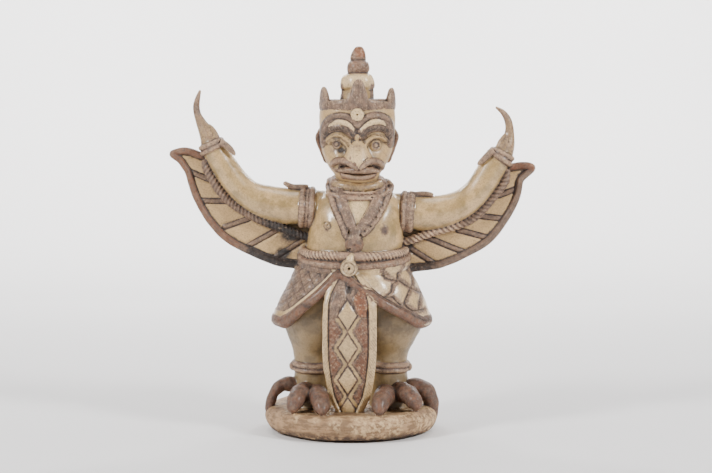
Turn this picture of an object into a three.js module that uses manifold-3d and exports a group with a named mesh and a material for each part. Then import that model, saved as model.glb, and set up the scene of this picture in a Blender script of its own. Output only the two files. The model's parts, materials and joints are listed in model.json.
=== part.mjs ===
// A garuda figure in glazed stoneware, modelled by hand and fired in one with its round plinth.
// Millimetres, +Z up. The figure faces -Y, and the origin is the centre of the plinth's underside.

import * as THREE from 'three';
import { mergeVertices } from 'three/addons/utils/BufferGeometryUtils.js';
import Module from 'manifold-3d';

// Driving dimensions
const FIGURE_HEIGHT = 300; // from the top of the plinth to the tip of the topknot
const PLINTH_DIAMETER = 146;
const PLINTH_HEIGHT = 20;
const PLINTH_FOOT_DIAMETER = 130; // the flat underside that it stands on
const PLINTH_DISH = 1.5; // how far the middle of the top lies below its rim
const WING_WEB = 5; // thickness of the feathered panel
const WING_RIM = 8.5; // thickness of the roll round it
const WING_RIM_WIDTH = 6.5;
const WING_RIB = 7.5; // thickness where a quill crosses the panel
const ROPE = 8; // across the twisted rope below each arm
const BAND_WIDTH = 4.4; // of the bands on arms, wrists and ankles
const BAND_RISE = 2.4; // how far they stand out
const BELT_ROPE_RISE = 3.2; // how far the belt's rope stands out
const BELT_STRAND_RISE = 1.2; // how much further each strand of it does
const COLLAR_RISE = 2.2; // how far the two collars stand out
const GARLAND_WIDTH = 13;
const GARLAND_RISE = 3.4;
const SKIRT_HEM = 7; // thickness of the rolled hem
const SASH_THICKNESS = 7;
const SASH_BORDER = 5; // width of the sash's raised edge
const SASH_RELIEF = 1.6; // how far that edge stands out
const CROWN_WALL = 4.5;

// The figure's own proportions are counted in these parts of its height, from the plinth's top
const PARTS_OF_HEIGHT = 300;
const unit = FIGURE_HEIGHT / PARTS_OF_HEIGHT;
const at = (x, y, z) => new THREE.Vector3(x * unit, y * unit, PLINTH_HEIGHT + z * unit);

const FRONT = new THREE.Vector3(0, -1, 0);
const UP = new THREE.Vector3(0, 0, 1);

// Sections of the round forms, from below: height, centre x, centre y, half width, half depth,
// then how far the section stands out beyond that, and how far it dips in front
const TORSO = [
  [132.6, 3, 0, 39.4, 32.5],
  [142, 3.8, 0, 39.2, 32.5],
  [154, 4.6, 0, 38.2, 31],
  [165, 5.2, 0, 37.5, 28.5],
  [173, 5.5, 0, 35.5, 25.5],
  [177.5, 5.6, 0, 32, 22.5, 0, 2],
  [180.5, 5.5, 0, 24, 21, COLLAR_RISE, 6],
  [183.3, 5.4, -0.5, 21.5, 18.5, 0, 6],
  [185.5, 5.3, -1, 20, 17.5, COLLAR_RISE, 5.5],
  [188, 5.3, -2, 19, 17, 0, 4],
  [196, 5.2, -3, 18, 16.5],
];
const BELT = [
  [118, 2.2, 0, 45.6, 36],
  [120.5, 2.3, 0, 46.4, 36.6],
  [123.2, 2.4, 0, 45, 36],
  [124.6, 2.5, 0, 40.5, 33],
  [127, 2.6, 0, 40, 32.8, BELT_ROPE_RISE],
  [130.2, 2.8, 0, 39.6, 32.6, BELT_ROPE_RISE],
];
const HEAD = [
  [186.5, 5, -8, 9, 11],
  [189.5, 5, -7, 15, 18],
  [194, 5, -6, 18.5, 23],
  [201.5, 4.8, -5, 23.2, 27],
  [208, 5, -4.5, 26.5, 28.5],
  [215, 5.2, -4, 29.2, 29.5],
  [225, 5.3, -3.5, 30.7, 30],
  [236, 5.4, -3, 31.6, 30.3],
  [247.2, 5.4, -3, 31.8, 30.4],
];
const HEAD_CENTRE = 5.3;

// Each side's own shapes, because the two halves were modelled by hand and don't match.
// Arms and wings are points of x and z. A wing's inner points follow its rope and the outer ones its
// rim, at the ends of its quills and the places between them, from the tip to the body
const SIDES = {
  left: {
    sign: -1,
    arm: [[-14, 164], [-40, 166], [-55, 167], [-72, 171], [-85, 177], [-95, 186], [-103, 196], [-110, 207],
      [-115.5, 217]],
    hand: [[-119, 225], [-124, 235], [-127.5, 243], [-128.3, 250], [-127.5, 257], [-126.2, 263.5]],
    thumb: [[-112, 218], [-110.5, 226], [-116, 234]],
    wristLeaf: [[-113, 219], [-104, 217], [-96, 210]],
    armletLeaf: [[-38, 182], [-46, 184.5], [-56, 187]],
    wingInner: [[-119, 208], [-118.5, 200], [-117, 190], [-113, 180], [-106, 170], [-98, 163], [-89, 157.5],
      [-78, 151.5], [-66, 147], [-54, 142], [-43, 138], [-30, 137]],
    wingOuter: [[-150, 212.5], [-142.5, 203], [-137, 193], [-133.5, 182], [-128.5, 170], [-119, 154.5],
      [-107, 142], [-95, 134], [-82, 127], [-70, 122], [-56, 117.5], [-32, 115]],
    toeTip: 0.9, // height of the outer toe's tip, in heights of the plinth
    toeReach: 0.955, // how far out it reaches, in radii of the plinth
    armletPlace: 0.052, // where the first armlet lies, as a share of the arm and hand
  },
  right: {
    sign: 1,
    arm: [[24, 164], [46, 163], [62, 162], [77, 164.5], [91, 171], [102, 180.5], [111, 192], [118.5, 201.5],
      [124.5, 208.5]],
    hand: [[129, 217], [131.3, 225], [131.7, 233], [130.2, 239.5], [126.5, 245], [120, 249.8]],
    thumb: [[124, 212], [123, 220], [127, 227]],
    wristLeaf: [[121, 210], [112, 207.5], [105, 200.5]],
    armletLeaf: [[50, 178], [58, 179], [68, 179]],
    wingInner: [[130, 199], [128.5, 188], [123, 178], [115, 169], [106, 161], [99, 155], [91, 151],
      [79, 147], [66, 143], [56, 140], [47, 137], [36, 136]],
    wingOuter: [[152, 200], [146, 193.5], [142, 184], [140.5, 172], [135, 160], [127, 149.5], [117, 140],
      [105, 130.5], [92, 123.5], [81, 119], [69, 116], [38, 113]],
    toeTip: 0.42,
    toeReach: 0.985,
    armletPlace: 0.057,
  },
};
const QUILLS = [2, 4, 6, 8, 10]; // which of the wing's places are quills

// Solids from meshes. Every form below is one closed surface that faces outwards
const manifoldLibrary = await Module();
manifoldLibrary.setup();

function solid(geometry) {
  const plain = geometry.clone();
  plain.deleteAttribute('normal');
  plain.deleteAttribute('uv');
  const merged = mergeVertices(plain);
  const mesh = new manifoldLibrary.Mesh({
    numProp: 3,
    vertProperties: new Float32Array(merged.getAttribute('position').array),
    triVerts: new Uint32Array(merged.index.array),
  });
  return new manifoldLibrary.Manifold(mesh);
}

function geometryOf(manifold) {
  const mesh = manifold.getMesh();
  const geometry = new THREE.BufferGeometry();
  geometry.setAttribute('position', new THREE.BufferAttribute(mesh.vertProperties, mesh.numProp));
  geometry.setIndex(new THREE.BufferAttribute(mesh.triVerts, 1));
  geometry.computeVertexNormals();
  return geometry;
}

const joined = (geometries) => geometries.map(solid).reduce((whole, piece) => whole.add(piece));

// A surface through rings of points that run anticlockwise round the way that the rings follow.
// It closes on itself, or ends in two flat caps
function skin(rings, closed = false) {
  const sides = rings[0].length;
  const position = rings.flat().flatMap((point) => point.toArray());
  const index = [];
  const spans = closed ? rings.length : rings.length - 1;
  for (let i = 0; i < spans; i++) {
    const here = i * sides;
    const there = ((i + 1) % rings.length) * sides;
    for (let j = 0; j < sides; j++) {
      const k = (j + 1) % sides;
      index.push(here + j, here + k, there + k, here + j, there + k, there + j);
    }
  }
  if (!closed) {
    const last = (rings.length - 1) * sides;
    for (let j = 1; j < sides - 1; j++) {
      index.push(0, j + 1, j, last, last + j, last + j + 1);
    }
  }
  const geometry = new THREE.BufferGeometry();
  geometry.setAttribute('position', new THREE.Float32BufferAttribute(position, 3));
  geometry.setIndex(index);
  return geometry;
}

// The values of a list of equal rows, a share t of the way along it
function along(list, t) {
  const place = t * (list.length - 1);
  const i = Math.min(Math.floor(place), list.length - 2);
  return list[i].map((value, k) => THREE.MathUtils.lerp(value, list[i + 1][k], place - i));
}

const curveThrough = (points, closed = false) => new THREE.CatmullRomCurve3(points, closed, 'centripetal');
const inFront = (points, y = 0) => curveThrough(points.map(([x, z]) => at(x, y, z)));
const facingFront = () => FRONT;

// A body swept along a curve, through stations of [share of the way, radius towards `facing`, radius
// across it]
function sweep(curve, stations, sides, facing, closed = false) {
  const rings = stations.map(([t, high, wide]) => {
    const point = curve.getPoint(t);
    const tangent = curve.getTangent(t);
    const lift = facing(point).clone().projectOnPlane(tangent).normalize();
    const across = tangent.clone().cross(lift);
    const ring = [];
    for (let j = 0; j < sides; j++) {
      const angle = (2 * Math.PI * j) / sides;
      ring.push(point.clone()
        .addScaledVector(lift, high * Math.cos(angle))
        .addScaledVector(across, wide * Math.sin(angle)));
    }
    return ring;
  });
  return skin(rings, closed);
}

// Even stations between a list of radii, which are in parts of the figure's height
function evenly(radii, steps) {
  const stations = [];
  for (let i = 0; i <= steps; i++) {
    const [high, wide] = along(radii, i / steps);
    stations.push([i / steps, high * unit, wide * unit]);
  }
  return stations;
}

// The same, with a raised band round the limb at each of the given shares of the way
function banded(curve, radii, steps, bandsAt) {
  const nearby = 0.002;
  const bands = bandsAt.map((t) => {
    const speed = curve.getPoint(t + nearby).distanceTo(curve.getPoint(t - nearby)) / (2 * nearby);
    return { t, half: BAND_WIDTH / 2 / speed };
  });
  const clear = (t) => bands.every((band) => Math.abs(t - band.t) > band.half * 1.3);
  const plain = evenly(radii, steps).filter(([t]) => clear(t));
  const raised = bands.flatMap(({ t, half }) => [[-1, 0], [0, 1], [1, 0]].map(([shift, rise]) => {
    const place = t + shift * half;
    const [high, wide] = along(radii, place);
    return [place, high * unit + rise * BAND_RISE, wide * unit + rise * BAND_RISE];
  }));
  const stations = [...plain, ...raised].sort((a, b) => a[0] - b[0]);
  return stations.filter(([t], i) => i === 0 || t - stations[i - 1][0] > nearby);
}

// A ring round one section of a table. A plain ellipse has a squareness of 2, and more fills its corners
const SQUARENESS = 2.3;

function oval([z, x, y, halfWidth, halfDepth, rise = 0, dip = 0], sides, strandRise = () => 0) {
  const bend = (value) => Math.sign(value) * Math.abs(value) ** (2 / SQUARENESS);
  const ring = [];
  for (let j = 0; j < sides; j++) {
    const angle = (2 * Math.PI * j) / sides;
    const out = rise + strandRise(j);
    const forward = (1 - Math.sin(angle)) / 2;
    const [cos, sin] = [Math.cos(angle), Math.sin(angle)];
    const point = at(x + halfWidth * bend(cos), y + halfDepth * bend(sin), z - dip * forward);
    ring.push(point.add(new THREE.Vector3(out * cos, out * sin, 0)));
  }
  return ring;
}

// The point on the front of a table's form, at a width and a height, stood off by `lift`
function onFront(table, x, z, lift = 0) {
  const above = Math.max(1, table.findIndex((row) => row[0] >= z));
  const lower = table[above - 1].slice(0, 5);
  const upper = table[above].slice(0, 5);
  const share = (z - lower[0]) / (upper[0] - lower[0]);
  const [, centreX, centreY, halfWidth, halfDepth] = along([lower, upper], share);
  const sideways = Math.min(1, Math.abs(x - centreX) / halfWidth);
  const depth = halfDepth * (1 - sideways ** SQUARENESS) ** (1 / SQUARENESS);
  return at(x, centreY - depth - lift, z);
}

// Plinth: a thick cake of clay with a soft edge, flat below, a little dished above
function plinth() {
  const radius = PLINTH_DIAMETER / 2;
  const foot = PLINTH_FOOT_DIAMETER / 2;
  const roundness = radius - foot;
  const profile = [
    [0, 0],
    [foot, 0],
    [foot + roundness * 0.7, PLINTH_HEIGHT * 0.2],
    [radius, PLINTH_HEIGHT * 0.55],
    [radius - roundness * 0.3, PLINTH_HEIGHT * 0.88],
    [foot, PLINTH_HEIGHT],
    [foot - roundness * 2, PLINTH_HEIGHT - PLINTH_DISH],
    [0, PLINTH_HEIGHT - PLINTH_DISH],
  ].map(([r, z]) => new THREE.Vector2(r, z));
  const sides = 30;
  return new THREE.LatheGeometry(profile, sides).rotateX(Math.PI / 2);
}

// Legs: two fat thighs that meet under the skirt and narrow to the ankles, each with an anklet
function leg(side) {
  const path = [[14, 104], [22, 86], [27.5, 70], [30, 56], [30.5, 44], [31, 32], [32.5, 14], [33, -3]];
  const radii = [[27, 31], [30, 34], [30, 33], [24, 26.5], [16.5, 17.5], [15.5, 16.5], [16.5, 16],
    [19, 18]];
  const curve = inFront(path.map(([x, z]) => [side.sign * x, z]));
  const steps = 8;
  const sides = 12;
  const ankletPlace = 0.74;
  return sweep(curve, banded(curve, radii, steps, [ankletPlace]), sides, facingFront);
}

// Toes: they arch from the ankle, and the outer two hook over the plinth's rim
function toes(side) {
  const rim = PLINTH_DIAMETER / 2;
  const radii = [[8.4, 10], [9, 9.4], [8.2, 8.2], [6.6, 6.2], [3, 2.6]];
  const shapes = [
    { turn: 84, arch: 17, tip: side.toeTip, reach: side.toeReach, thick: 1 },
    { turn: 56, arch: 14, tip: 0.95, reach: 0.92, thick: 0.95 },
    { turn: 26, arch: 11.5, tip: 1.05, reach: 0.84, thick: 0.92 },
    { turn: 150, arch: 11, tip: 1.05, reach: 0.82, thick: 0.92 },
  ];
  const steps = 6;
  const sides = 5;
  return shapes.map(({ turn, arch, tip, reach, thick }) => {
    const angle = THREE.MathUtils.degToRad(turn);
    const way = new THREE.Vector3(side.sign * Math.sin(angle), -Math.cos(angle), 0);
    const ankle = at(side.sign * 33, 0, 10);
    const end = way.clone().multiplyScalar(rim * reach).setZ(PLINTH_HEIGHT * tip);
    const over = (share, height) => ankle.clone().lerp(end, share)
      .setZ(PLINTH_HEIGHT + arch * height * unit);
    const points = [over(0, 0.7), over(0.42, 1), over(0.8, 0.9), over(0.99, 0.4), end];
    const thickness = radii.map((pair) => pair.map((radius) => radius * thick));
    return sweep(curveThrough(points), evenly(thickness, steps), sides, () => UP.clone().add(way));
  });
}

// Body: one hollow form that flares into the skirt. Its flaps hang low at the sides and sweep up to
// the sash, and above the belt come the barrel chest, flat shoulders and a neck in two collars
function body() {
  const sides = 24;
  const waist = 117;
  const low = 66;
  const swept = { from: 16, to: 64, rise: 43, bend: 1.6 };
  const spread = (z) => [48 + (waist - z) * 0.43, 37 + (waist - z) * 0.28];
  const skirtRing = (heightAboveHem, out) => {
    const ring = [];
    for (let j = 0; j < sides; j++) {
      const angle = (2 * Math.PI * j) / sides;
      const fromFront = THREE.MathUtils.radToDeg(Math.acos(-Math.sin(angle)));
      const share = THREE.MathUtils.clamp((fromFront - swept.from) / (swept.to - swept.from), 0, 1);
      const hem = low + swept.rise * (1 - share) ** swept.bend;
      const z = hem + heightAboveHem(waist - hem);
      const [halfWidth, halfDepth] = spread(z);
      const point = at(1.8 + halfWidth * Math.cos(angle), halfDepth * Math.sin(angle), z);
      point.x += out * Math.cos(angle);
      point.y += out * Math.sin(angle);
      ring.push(point);
    }
    return ring;
  };
  const roll = (share) => (room) => Math.min(share * SKIRT_HEM / unit, room * share * 0.4);
  const strand = (row) => (j) => (row[5] ? ((j + Math.round(row[0])) % 2) * BELT_STRAND_RISE : 0);
  return skin([
    oval([98, 2, 0, 26, 20], sides),
    skirtRing(roll(1.1), -SKIRT_HEM * 1.7),
    skirtRing(roll(0.1), -SKIRT_HEM * 0.75),
    skirtRing(roll(0), -SKIRT_HEM * 0.05),
    skirtRing(roll(0.5), SKIRT_HEM * 0.4),
    skirtRing(roll(1.2), 0),
    skirtRing((room) => room * 0.6, 0),
    skirtRing((room) => room, 0),
    ...BELT.map((row) => oval(row, sides, strand(row))),
    ...TORSO.map((row) => oval(row, sides)),
  ]);
}

// Sash: a broad tongue of cloth down the front, with a raised border
function sash() {
  const rows = [
    [0, -36, 12], [12, -37, 17], [28, -40, 20], [46, -45, 22], [64, -49, 23.2], [84, -50, 23.2],
    [96, -47.5, 20.5], [108, -42, 15], [115, -38, 9],
  ];
  return skin(rows.map(([z, y, halfWidth]) => {
    const middle = at(-1, y, z);
    const edge = halfWidth * unit;
    const inner = edge - Math.min(SASH_BORDER, edge * 0.4);
    const soft = SASH_RELIEF * 0.6;
    return [
      [-edge, SASH_THICKNESS], [-edge, soft], [-edge + soft, 0], [-inner, 0], [-inner + soft, SASH_RELIEF],
      [inner - soft, SASH_RELIEF], [inner, 0], [edge - soft, 0], [edge, soft], [edge, SASH_THICKNESS],
    ].map(([x, y2]) => new THREE.Vector3(middle.x + x, middle.y + y2, middle.z));
  }));
}

// Arms that end in one long curled finger, with a thumb, bands and pointed leaves
function arm(side) {
  const radii = [[15.5, 15], [15.6, 15.2], [15, 14.8], [14.5, 14], [13.8, 13.4], [12.8, 12.4], [11.6, 11.2],
    [10.4, 10.2], [9.4, 9.4], [8.2, 7.8], [4.4, 4.8], [3.2, 3.3], [2.6, 2.7], [1.9, 2.1], [0.8, 0.9]];
  const curve = inFront([...side.arm, ...side.hand]);
  const armletPitch = 0.011;
  const armlets = [0, 1, 2].map((i) => side.armletPlace + i * armletPitch);
  const wristbands = [0.53, 0.56];
  const steps = 13;
  const sides = 10;
  const limb = sweep(curve, banded(curve, radii, steps, [...armlets, ...wristbands]), sides, facingFront);
  const thumb = sweep(inFront(side.thumb, -3), evenly([[4, 4.5], [3, 3.6], [0.8, 1]], 3), 5, facingFront);
  const leafRadii = [[3.4, 5], [3, 4.2], [0.9, 0.9]];
  const leaf = (points, y) => sweep(inFront(points, y), evenly(leafRadii, 3), 5, facingFront);
  return [limb, thumb, leaf(side.wristLeaf, -8), leaf(side.armletLeaf, -4)];
}

// Wings: a panel from the twisted rope below the arm to the roll round its edge, crossed by quills
function wing(side) {
  const inner = inFront(side.wingInner);
  const outer = inFront(side.wingOuter);
  const last = side.wingInner.length - 1;
  const besideQuill = 0.17;
  const tipRoll = [0, 0.3, 0.45];
  const places = [...tipRoll];
  for (let i = 1; i <= last; i++) {
    if (QUILLS.includes(i)) places.push(i - besideQuill, i, i + besideQuill);
    else places.push(i);
  }
  const middle = 4 * unit;
  const inArm = 14 * unit;
  const tipBow = 5.5 * unit;
  return skin(places.map((place, row) => {
    const start = inner.getPoint(place / last);
    const end = outer.getPoint(place / last);
    const length = start.distanceTo(end);
    const way = end.clone().sub(start).normalize();
    const rib = (QUILLS.includes(place) ? WING_RIB : WING_WEB) / 2;
    const panel = place < 0.4 ? WING_RIM / 2 : rib;
    const root = WING_WEB / 2;
    const roll = (place < 0.1 ? WING_WEB : WING_RIM) / 2;
    const strands = row % 2 ? [1, 0.35] : [0.35, 1];
    const bow = tipBow * Math.max(0, 1 - place);
    const ring = [
      [-inArm, -root],
      [-ROPE * 0.32, -root - strands[0] * ROPE * 0.5],
      [ROPE * 0.2, -root - strands[1] * ROPE * 0.5],
      [ROPE * 0.5, -panel],
      [length - WING_RIM_WIDTH * 0.6, -panel],
      [length - WING_RIM_WIDTH * 0.15, -roll],
      [length + WING_RIM_WIDTH * 0.4, 0],
      [length - WING_RIM_WIDTH * 0.15, roll],
      [length - WING_RIM_WIDTH * 0.6, panel],
      [-inArm, root],
    ].map(([distance, y]) => {
      const share = THREE.MathUtils.clamp(distance / length, 0, 1);
      const point = start.clone().addScaledVector(way, distance);
      return point.set(point.x, middle + y, point.z + bow * 4 * share * (1 - share));
    });
    return side.sign > 0 ? ring.reverse() : ring;
  }));
}

// A round jewel facing front: a cup with a raised ring and a boss, its back sunk in the clay
function jewel(centre, radius, height) {
  const profile = [
    [0, -height], [radius, -height], [radius, height * 0.6], [radius * 0.8, height],
    [radius * 0.6, height * 0.6], [radius * 0.4, height * 0.9], [0, height],
  ].map(([r, y]) => new THREE.Vector2(r * unit, y * unit));
  const sides = 10;
  return new THREE.LatheGeometry(profile, sides).rotateX(Math.PI).translate(...centre.toArray());
}

// Chest: a garland that hangs in a V from the nape to a pendant, and two nipples
function chest() {
  const overShoulder = 180;
  const onChest = ([x, z]) => {
    const place = onFront(TORSO, x, Math.min(z, overShoulder), 0.5);
    return place.setZ(at(0, 0, z).z);
  };
  const garland = curveThrough([
    at(5, 16, 188), at(-9, 10, 191), at(-15.5, -4, 191),
    ...[[-16.5, 184], [-16, 174], [-11.5, 163.5], [-5, 152]].map(onChest),
    onChest([3, 141]),
    ...[[12, 152], [20.5, 163.5], [28, 174], [28.5, 184]].map(onChest),
    at(27, -4, 191), at(20, 10, 191),
  ], true);
  const steps = 26;
  const stations = [];
  for (let i = 0; i < steps; i++) stations.push([i / steps, GARLAND_RISE, GARLAND_WIDTH / 2]);
  const offBody = (point) => new THREE.Vector3(0.6 * (point.x - 5 * unit), 1.5 * point.y, 10 * unit);
  const bead = (x, z, radius) => new THREE.SphereGeometry(radius * unit, 8, 6)
    .translate(...onFront(TORSO, x, z, radius * -0.2).toArray());
  const strap = sweep(garland, stations, 5, offBody, true);
  return [strap, bead(1.5, 139, 7), bead(-18.8, 152.4, 3), bead(27.1, 149.5, 3)];
}

// Face: arched rolls over the brows, round eyes, a broad hooked beak over thick lips
function face() {
  const strip = (points, radii, steps) => sweep(curveThrough(points), evenly(radii, steps), 4, facingFront);
  const halves = [-1, 1].flatMap((sign) => {
    const onFace = (points, lift) => points.map(([x, z, extra = 0]) =>
      onFront(HEAD, HEAD_CENTRE + sign * x, z, lift + extra));
    const arch = [[0, 235], [6, 240], [11.5, 243], [18, 243.6], [23.5, 241], [26.2, 236.5], [26.6, 229]];
    const brow = [[4, 226], [10, 231], [17, 233.5], [24.5, 231]];
    const fold = [[5, 217.5], [10, 222.5], [17, 224.8], [23, 221.5]];
    const moustache = [[1.5, 201.5, 8], [6.5, 205, 6], [12.5, 207], [18.5, 205.5, -1], [20.5, 201.5, -2]];
    const eye = new THREE.SphereGeometry(5 * unit, 8, 6).scale(1, 0.75, 0.9);
    eye.translate(...onFront(HEAD, HEAD_CENTRE + sign * 16, 219.2, -0.4).toArray());
    return [
      strip(onFace(arch, 0), [[2, 1.8], [2.4, 2.2], [2.2, 2], [1.6, 1.4]], 9),
      strip(onFace(brow, 0.3), [[1.2, 1.5], [2.4, 2.8], [2.2, 2.6], [1, 1.4]], 5),
      strip(onFace(fold, 0.2), [[1, 1], [2, 1.6], [0.8, 0.8]], 4),
      strip(onFace(moustache, 2), [[2, 1.8], [3.2, 2.6], [2.8, 2.6], [2, 1.8]], 5),
      eye,
    ];
  });
  const beakRows = [
    [198.6, 11.5, 1.5, 3], [200, 12, 4.5, 8], [203, 11, 10, 12.5], [207, 8.5, 14, 13], [213, 4.5, 12, 10],
    [219, 1.5, 8.5, 7], [223, 0, 5, 4],
  ];
  const beakSides = 8;
  const beak = beakRows.map(([z, lift, halfWidth, depth]) => {
    const front = onFront(HEAD, HEAD_CENTRE, z, lift);
    const ring = [];
    for (let j = 0; j < beakSides; j++) {
      const angle = (2 * Math.PI * j) / beakSides;
      const offset = new THREE.Vector3(halfWidth * Math.cos(angle), depth * (1 + Math.sin(angle)), 0);
      ring.push(front.clone().addScaledVector(offset, unit));
    }
    return ring;
  });
  const lip = (z, halfWidth, lift, high) => strip([-1, -0.5, 0, 0.5, 1].map((share) =>
    onFront(HEAD, HEAD_CENTRE + 0.8 + share * halfWidth, z - (share * 1.3) ** 2, lift)),
  [[2, high * 0.5], [3.4, high], [3.8, high * 0.9], [3.4, high], [2, high * 0.5]], 6);
  const bindi = jewel(onFront(HEAD, HEAD_CENTRE + 0.2, 243.7, 0.4), 4.6, 2.2);
  return [...halves, skin(beak), lip(199, 16.5, 1.8, 2.7), lip(193.4, 14.5, 1, 1.8), bindi];
}

function ear(sign) {
  const points = [[30, 1, 233], [33.2, 0, 227], [32, -1.5, 218], [28.6, -3, 210], [26.5, -3.5, 204]];
  const curve = curveThrough(points.map(([x, y, z]) => at(HEAD_CENTRE + sign * x, y, z)));
  const outwards = () => new THREE.Vector3(sign, -0.35, 0);
  return sweep(curve, evenly([[2, 3], [3.4, 6.5], [3, 5.5], [2.6, 4.4], [1.4, 1.8]], 5), 6, outwards);
}

// Head: one form with its crown, a wall that rises to two horns and a back leaf, and a front leaf on it
function head() {
  const sides = 28;
  const foot = 247.6;
  const rim = 256;
  const tilt = 1.5; // how far the rim rises towards the figure's right hand
  const leaves = [
    { turn: 66, width: 21, height: 10.3 },
    { turn: -66, width: 21, height: 10.3 },
    { turn: 180, width: 21, height: 8 },
  ];
  const rise = (turn) => Math.max(...leaves.map((leaf) => {
    const away = Math.abs(((turn - leaf.turn + 540) % 360) - 180) / leaf.width;
    return leaf.height * Math.max(0, 1 - away ** 2) ** 0.9;
  }));
  const crownRing = (heightOf, inwardsOf) => {
    const ring = [];
    for (let j = 0; j < sides; j++) {
      const angle = (2 * Math.PI * j) / sides;
      const leafRise = rise((360 * j) / sides + 90);
      const inwards = inwardsOf(leafRise);
      const point = at(HEAD_CENTRE, -3, heightOf(leafRise) - tilt * Math.cos(angle));
      point.x += (33 * unit - inwards) * Math.cos(angle);
      point.y += (31.6 * unit - inwards) * Math.sin(angle);
      ring.push(point);
    }
    return ring;
  };
  const lean = (leafRise) => leafRise * unit * 0.25;
  const headAndWall = skin([
    ...HEAD.map((row) => oval(row, sides)),
    crownRing(() => foot, () => 0),
    crownRing(() => rim - 2, () => 0),
    crownRing((leafRise) => rim + leafRise, (leafRise) => lean(leafRise) + CROWN_WALL * 0.2),
    crownRing((leafRise) => rim + leafRise, (leafRise) => lean(leafRise) + CROWN_WALL * 0.85),
    crownRing(() => rim - 4, () => CROWN_WALL * 1.2),
  ]);
  const leafPath = [[6, -31, 250], [5.8, -32, 258], [6.2, -31, 265], [6.6, -29.5, 271.5]];
  const frontLeaf = sweep(curveThrough(leafPath.map((point) => at(...point))),
    evenly([[2.6, 6.4], [2.8, 6.6], [2.2, 4.8], [0.9, 1.2]], 4), 6, facingFront);
  return [headAndWall, frontLeaf];
}

// Topknot: a collar and a dome, a bulb and a rounded cone, leaning a little to one side
function topknot() {
  const profile = [
    [0, 248], [14.5, 248], [14.6, 259], [14, 262.5], [14.8, 266], [14.4, 271], [12.6, 275.5],
    [9.2, 278], [9.6, 281], [9.2, 285], [6.6, 287.8], [6.6, 290], [5.6, 294.5], [3.4, 298.8], [0, 300],
  ].map(([r, z]) => new THREE.Vector2(r * unit, z * unit));
  const sides = 12;
  const lean = new THREE.Matrix4().makeShear(0, 0, 0, 0, 0.03, 0);
  return new THREE.LatheGeometry(profile, sides).rotateX(Math.PI / 2).applyMatrix4(lean)
    .translate(-2 * unit, 0, PLINTH_HEIGHT);
}

const knot = jewel(at(-1.2, -39.5, 119.3), 6.8, 4.5);
const eachSide = (side) => [leg(side), ...toes(side), ...arm(side), wing(side), ear(side.sign)];
const figure = joined([
  plinth(),
  body(),
  sash(),
  knot,
  ...chest(),
  ...head(),
  topknot(),
  ...face(),
  ...eachSide(SIDES.left),
  ...eachSide(SIDES.right),
]);

const stoneware = new THREE.MeshStandardMaterial({ color: 0xb29a80, roughness: 0.35, metalness: 0 });
const garuda = new THREE.Mesh(geometryOf(figure), stoneware);
garuda.name = 'garuda_figure';

const group = new THREE.Group();
group.add(garuda);

export default group;
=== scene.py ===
# %% [markdown]
# # A garuda in glazed stoneware
#
# The real object is one piece of fired clay. A potter built the plain body, rolled coils and strips
# for the trims, pressed them on with wet clay, cut the fine lines with a point, painted the trims
# with iron and dipped the whole in a pale glaze. This lesson follows the same order: plain forms
# first, then the strips on them, then one skin of glaze over everything, and the colours last.
#
# The imported model is the frame. It gives the place and the size of everything.

# %% Load the frame
import json
import math

import bpy
import numpy as np
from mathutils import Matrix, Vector

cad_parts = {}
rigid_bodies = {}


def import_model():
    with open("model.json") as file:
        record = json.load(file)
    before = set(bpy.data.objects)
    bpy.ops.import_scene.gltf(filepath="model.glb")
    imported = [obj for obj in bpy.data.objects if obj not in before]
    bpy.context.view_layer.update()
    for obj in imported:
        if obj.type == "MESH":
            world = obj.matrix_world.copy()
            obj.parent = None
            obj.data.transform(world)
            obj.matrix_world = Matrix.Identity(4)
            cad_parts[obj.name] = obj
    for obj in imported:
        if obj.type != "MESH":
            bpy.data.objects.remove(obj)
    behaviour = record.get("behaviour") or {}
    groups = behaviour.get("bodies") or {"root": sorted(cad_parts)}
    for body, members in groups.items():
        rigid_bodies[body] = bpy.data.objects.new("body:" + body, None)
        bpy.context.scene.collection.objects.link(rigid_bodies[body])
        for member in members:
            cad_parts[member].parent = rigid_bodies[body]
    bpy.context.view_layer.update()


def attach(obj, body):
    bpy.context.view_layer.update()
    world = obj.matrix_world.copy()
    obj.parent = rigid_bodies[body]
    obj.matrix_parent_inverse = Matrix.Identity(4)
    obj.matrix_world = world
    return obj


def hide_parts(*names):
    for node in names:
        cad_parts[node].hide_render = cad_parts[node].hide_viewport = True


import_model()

MM = 0.001
PLINTH_TOP = 20.0  # heights below are in millimetres above the plinth's top, unless they say otherwise
GRAIN = 0.62  # size of the small cubes that the clay is fused from

# %% [markdown]
# ## Tools for shapes
#
# Blender could grow these forms with sculpting or metaballs, but nobody can repeat a brush stroke.
# Here each form is a grid of points worked out by a formula: rings that follow a path. Numpy works
# on the whole grid at once. Two helpers come first: a smooth curve through a few rows of numbers,
# and the triangles between the rings of a grid.

# %% A smooth curve through rows of numbers
def spline(rows, count, closed=False):
    """Catmull-Rom curve: between two rows it is the cubic that passes through both and leaves each
    of them along the line between that row's two neighbours."""
    rows = np.asarray(rows, float)
    if closed:
        padded = np.vstack([rows[-1:], rows, rows[:2]])
        spans = len(rows)
    else:
        padded = np.vstack([2 * rows[:1] - rows[1:2], rows, 2 * rows[-1:] - rows[-2:-1]])
        spans = len(rows) - 1
    place = np.linspace(0, spans, count, endpoint=not closed)
    span = np.minimum(place.astype(int), spans - 1)
    f = (place - span)[:, None]
    a, b, c, d = (padded[span + k] for k in range(4))
    return b + 0.5 * f * (c - a + f * (2 * a - 5 * b + 4 * c - d + f * (3 * (b - c) + d - a)))


def lengths(path):
    """Distance run along a path at each of its points: the sum of the steps before it."""
    steps = np.linalg.norm(np.diff(path[:, :3], axis=0), axis=1)
    return np.concatenate([[0.0], np.cumsum(steps)])


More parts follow.
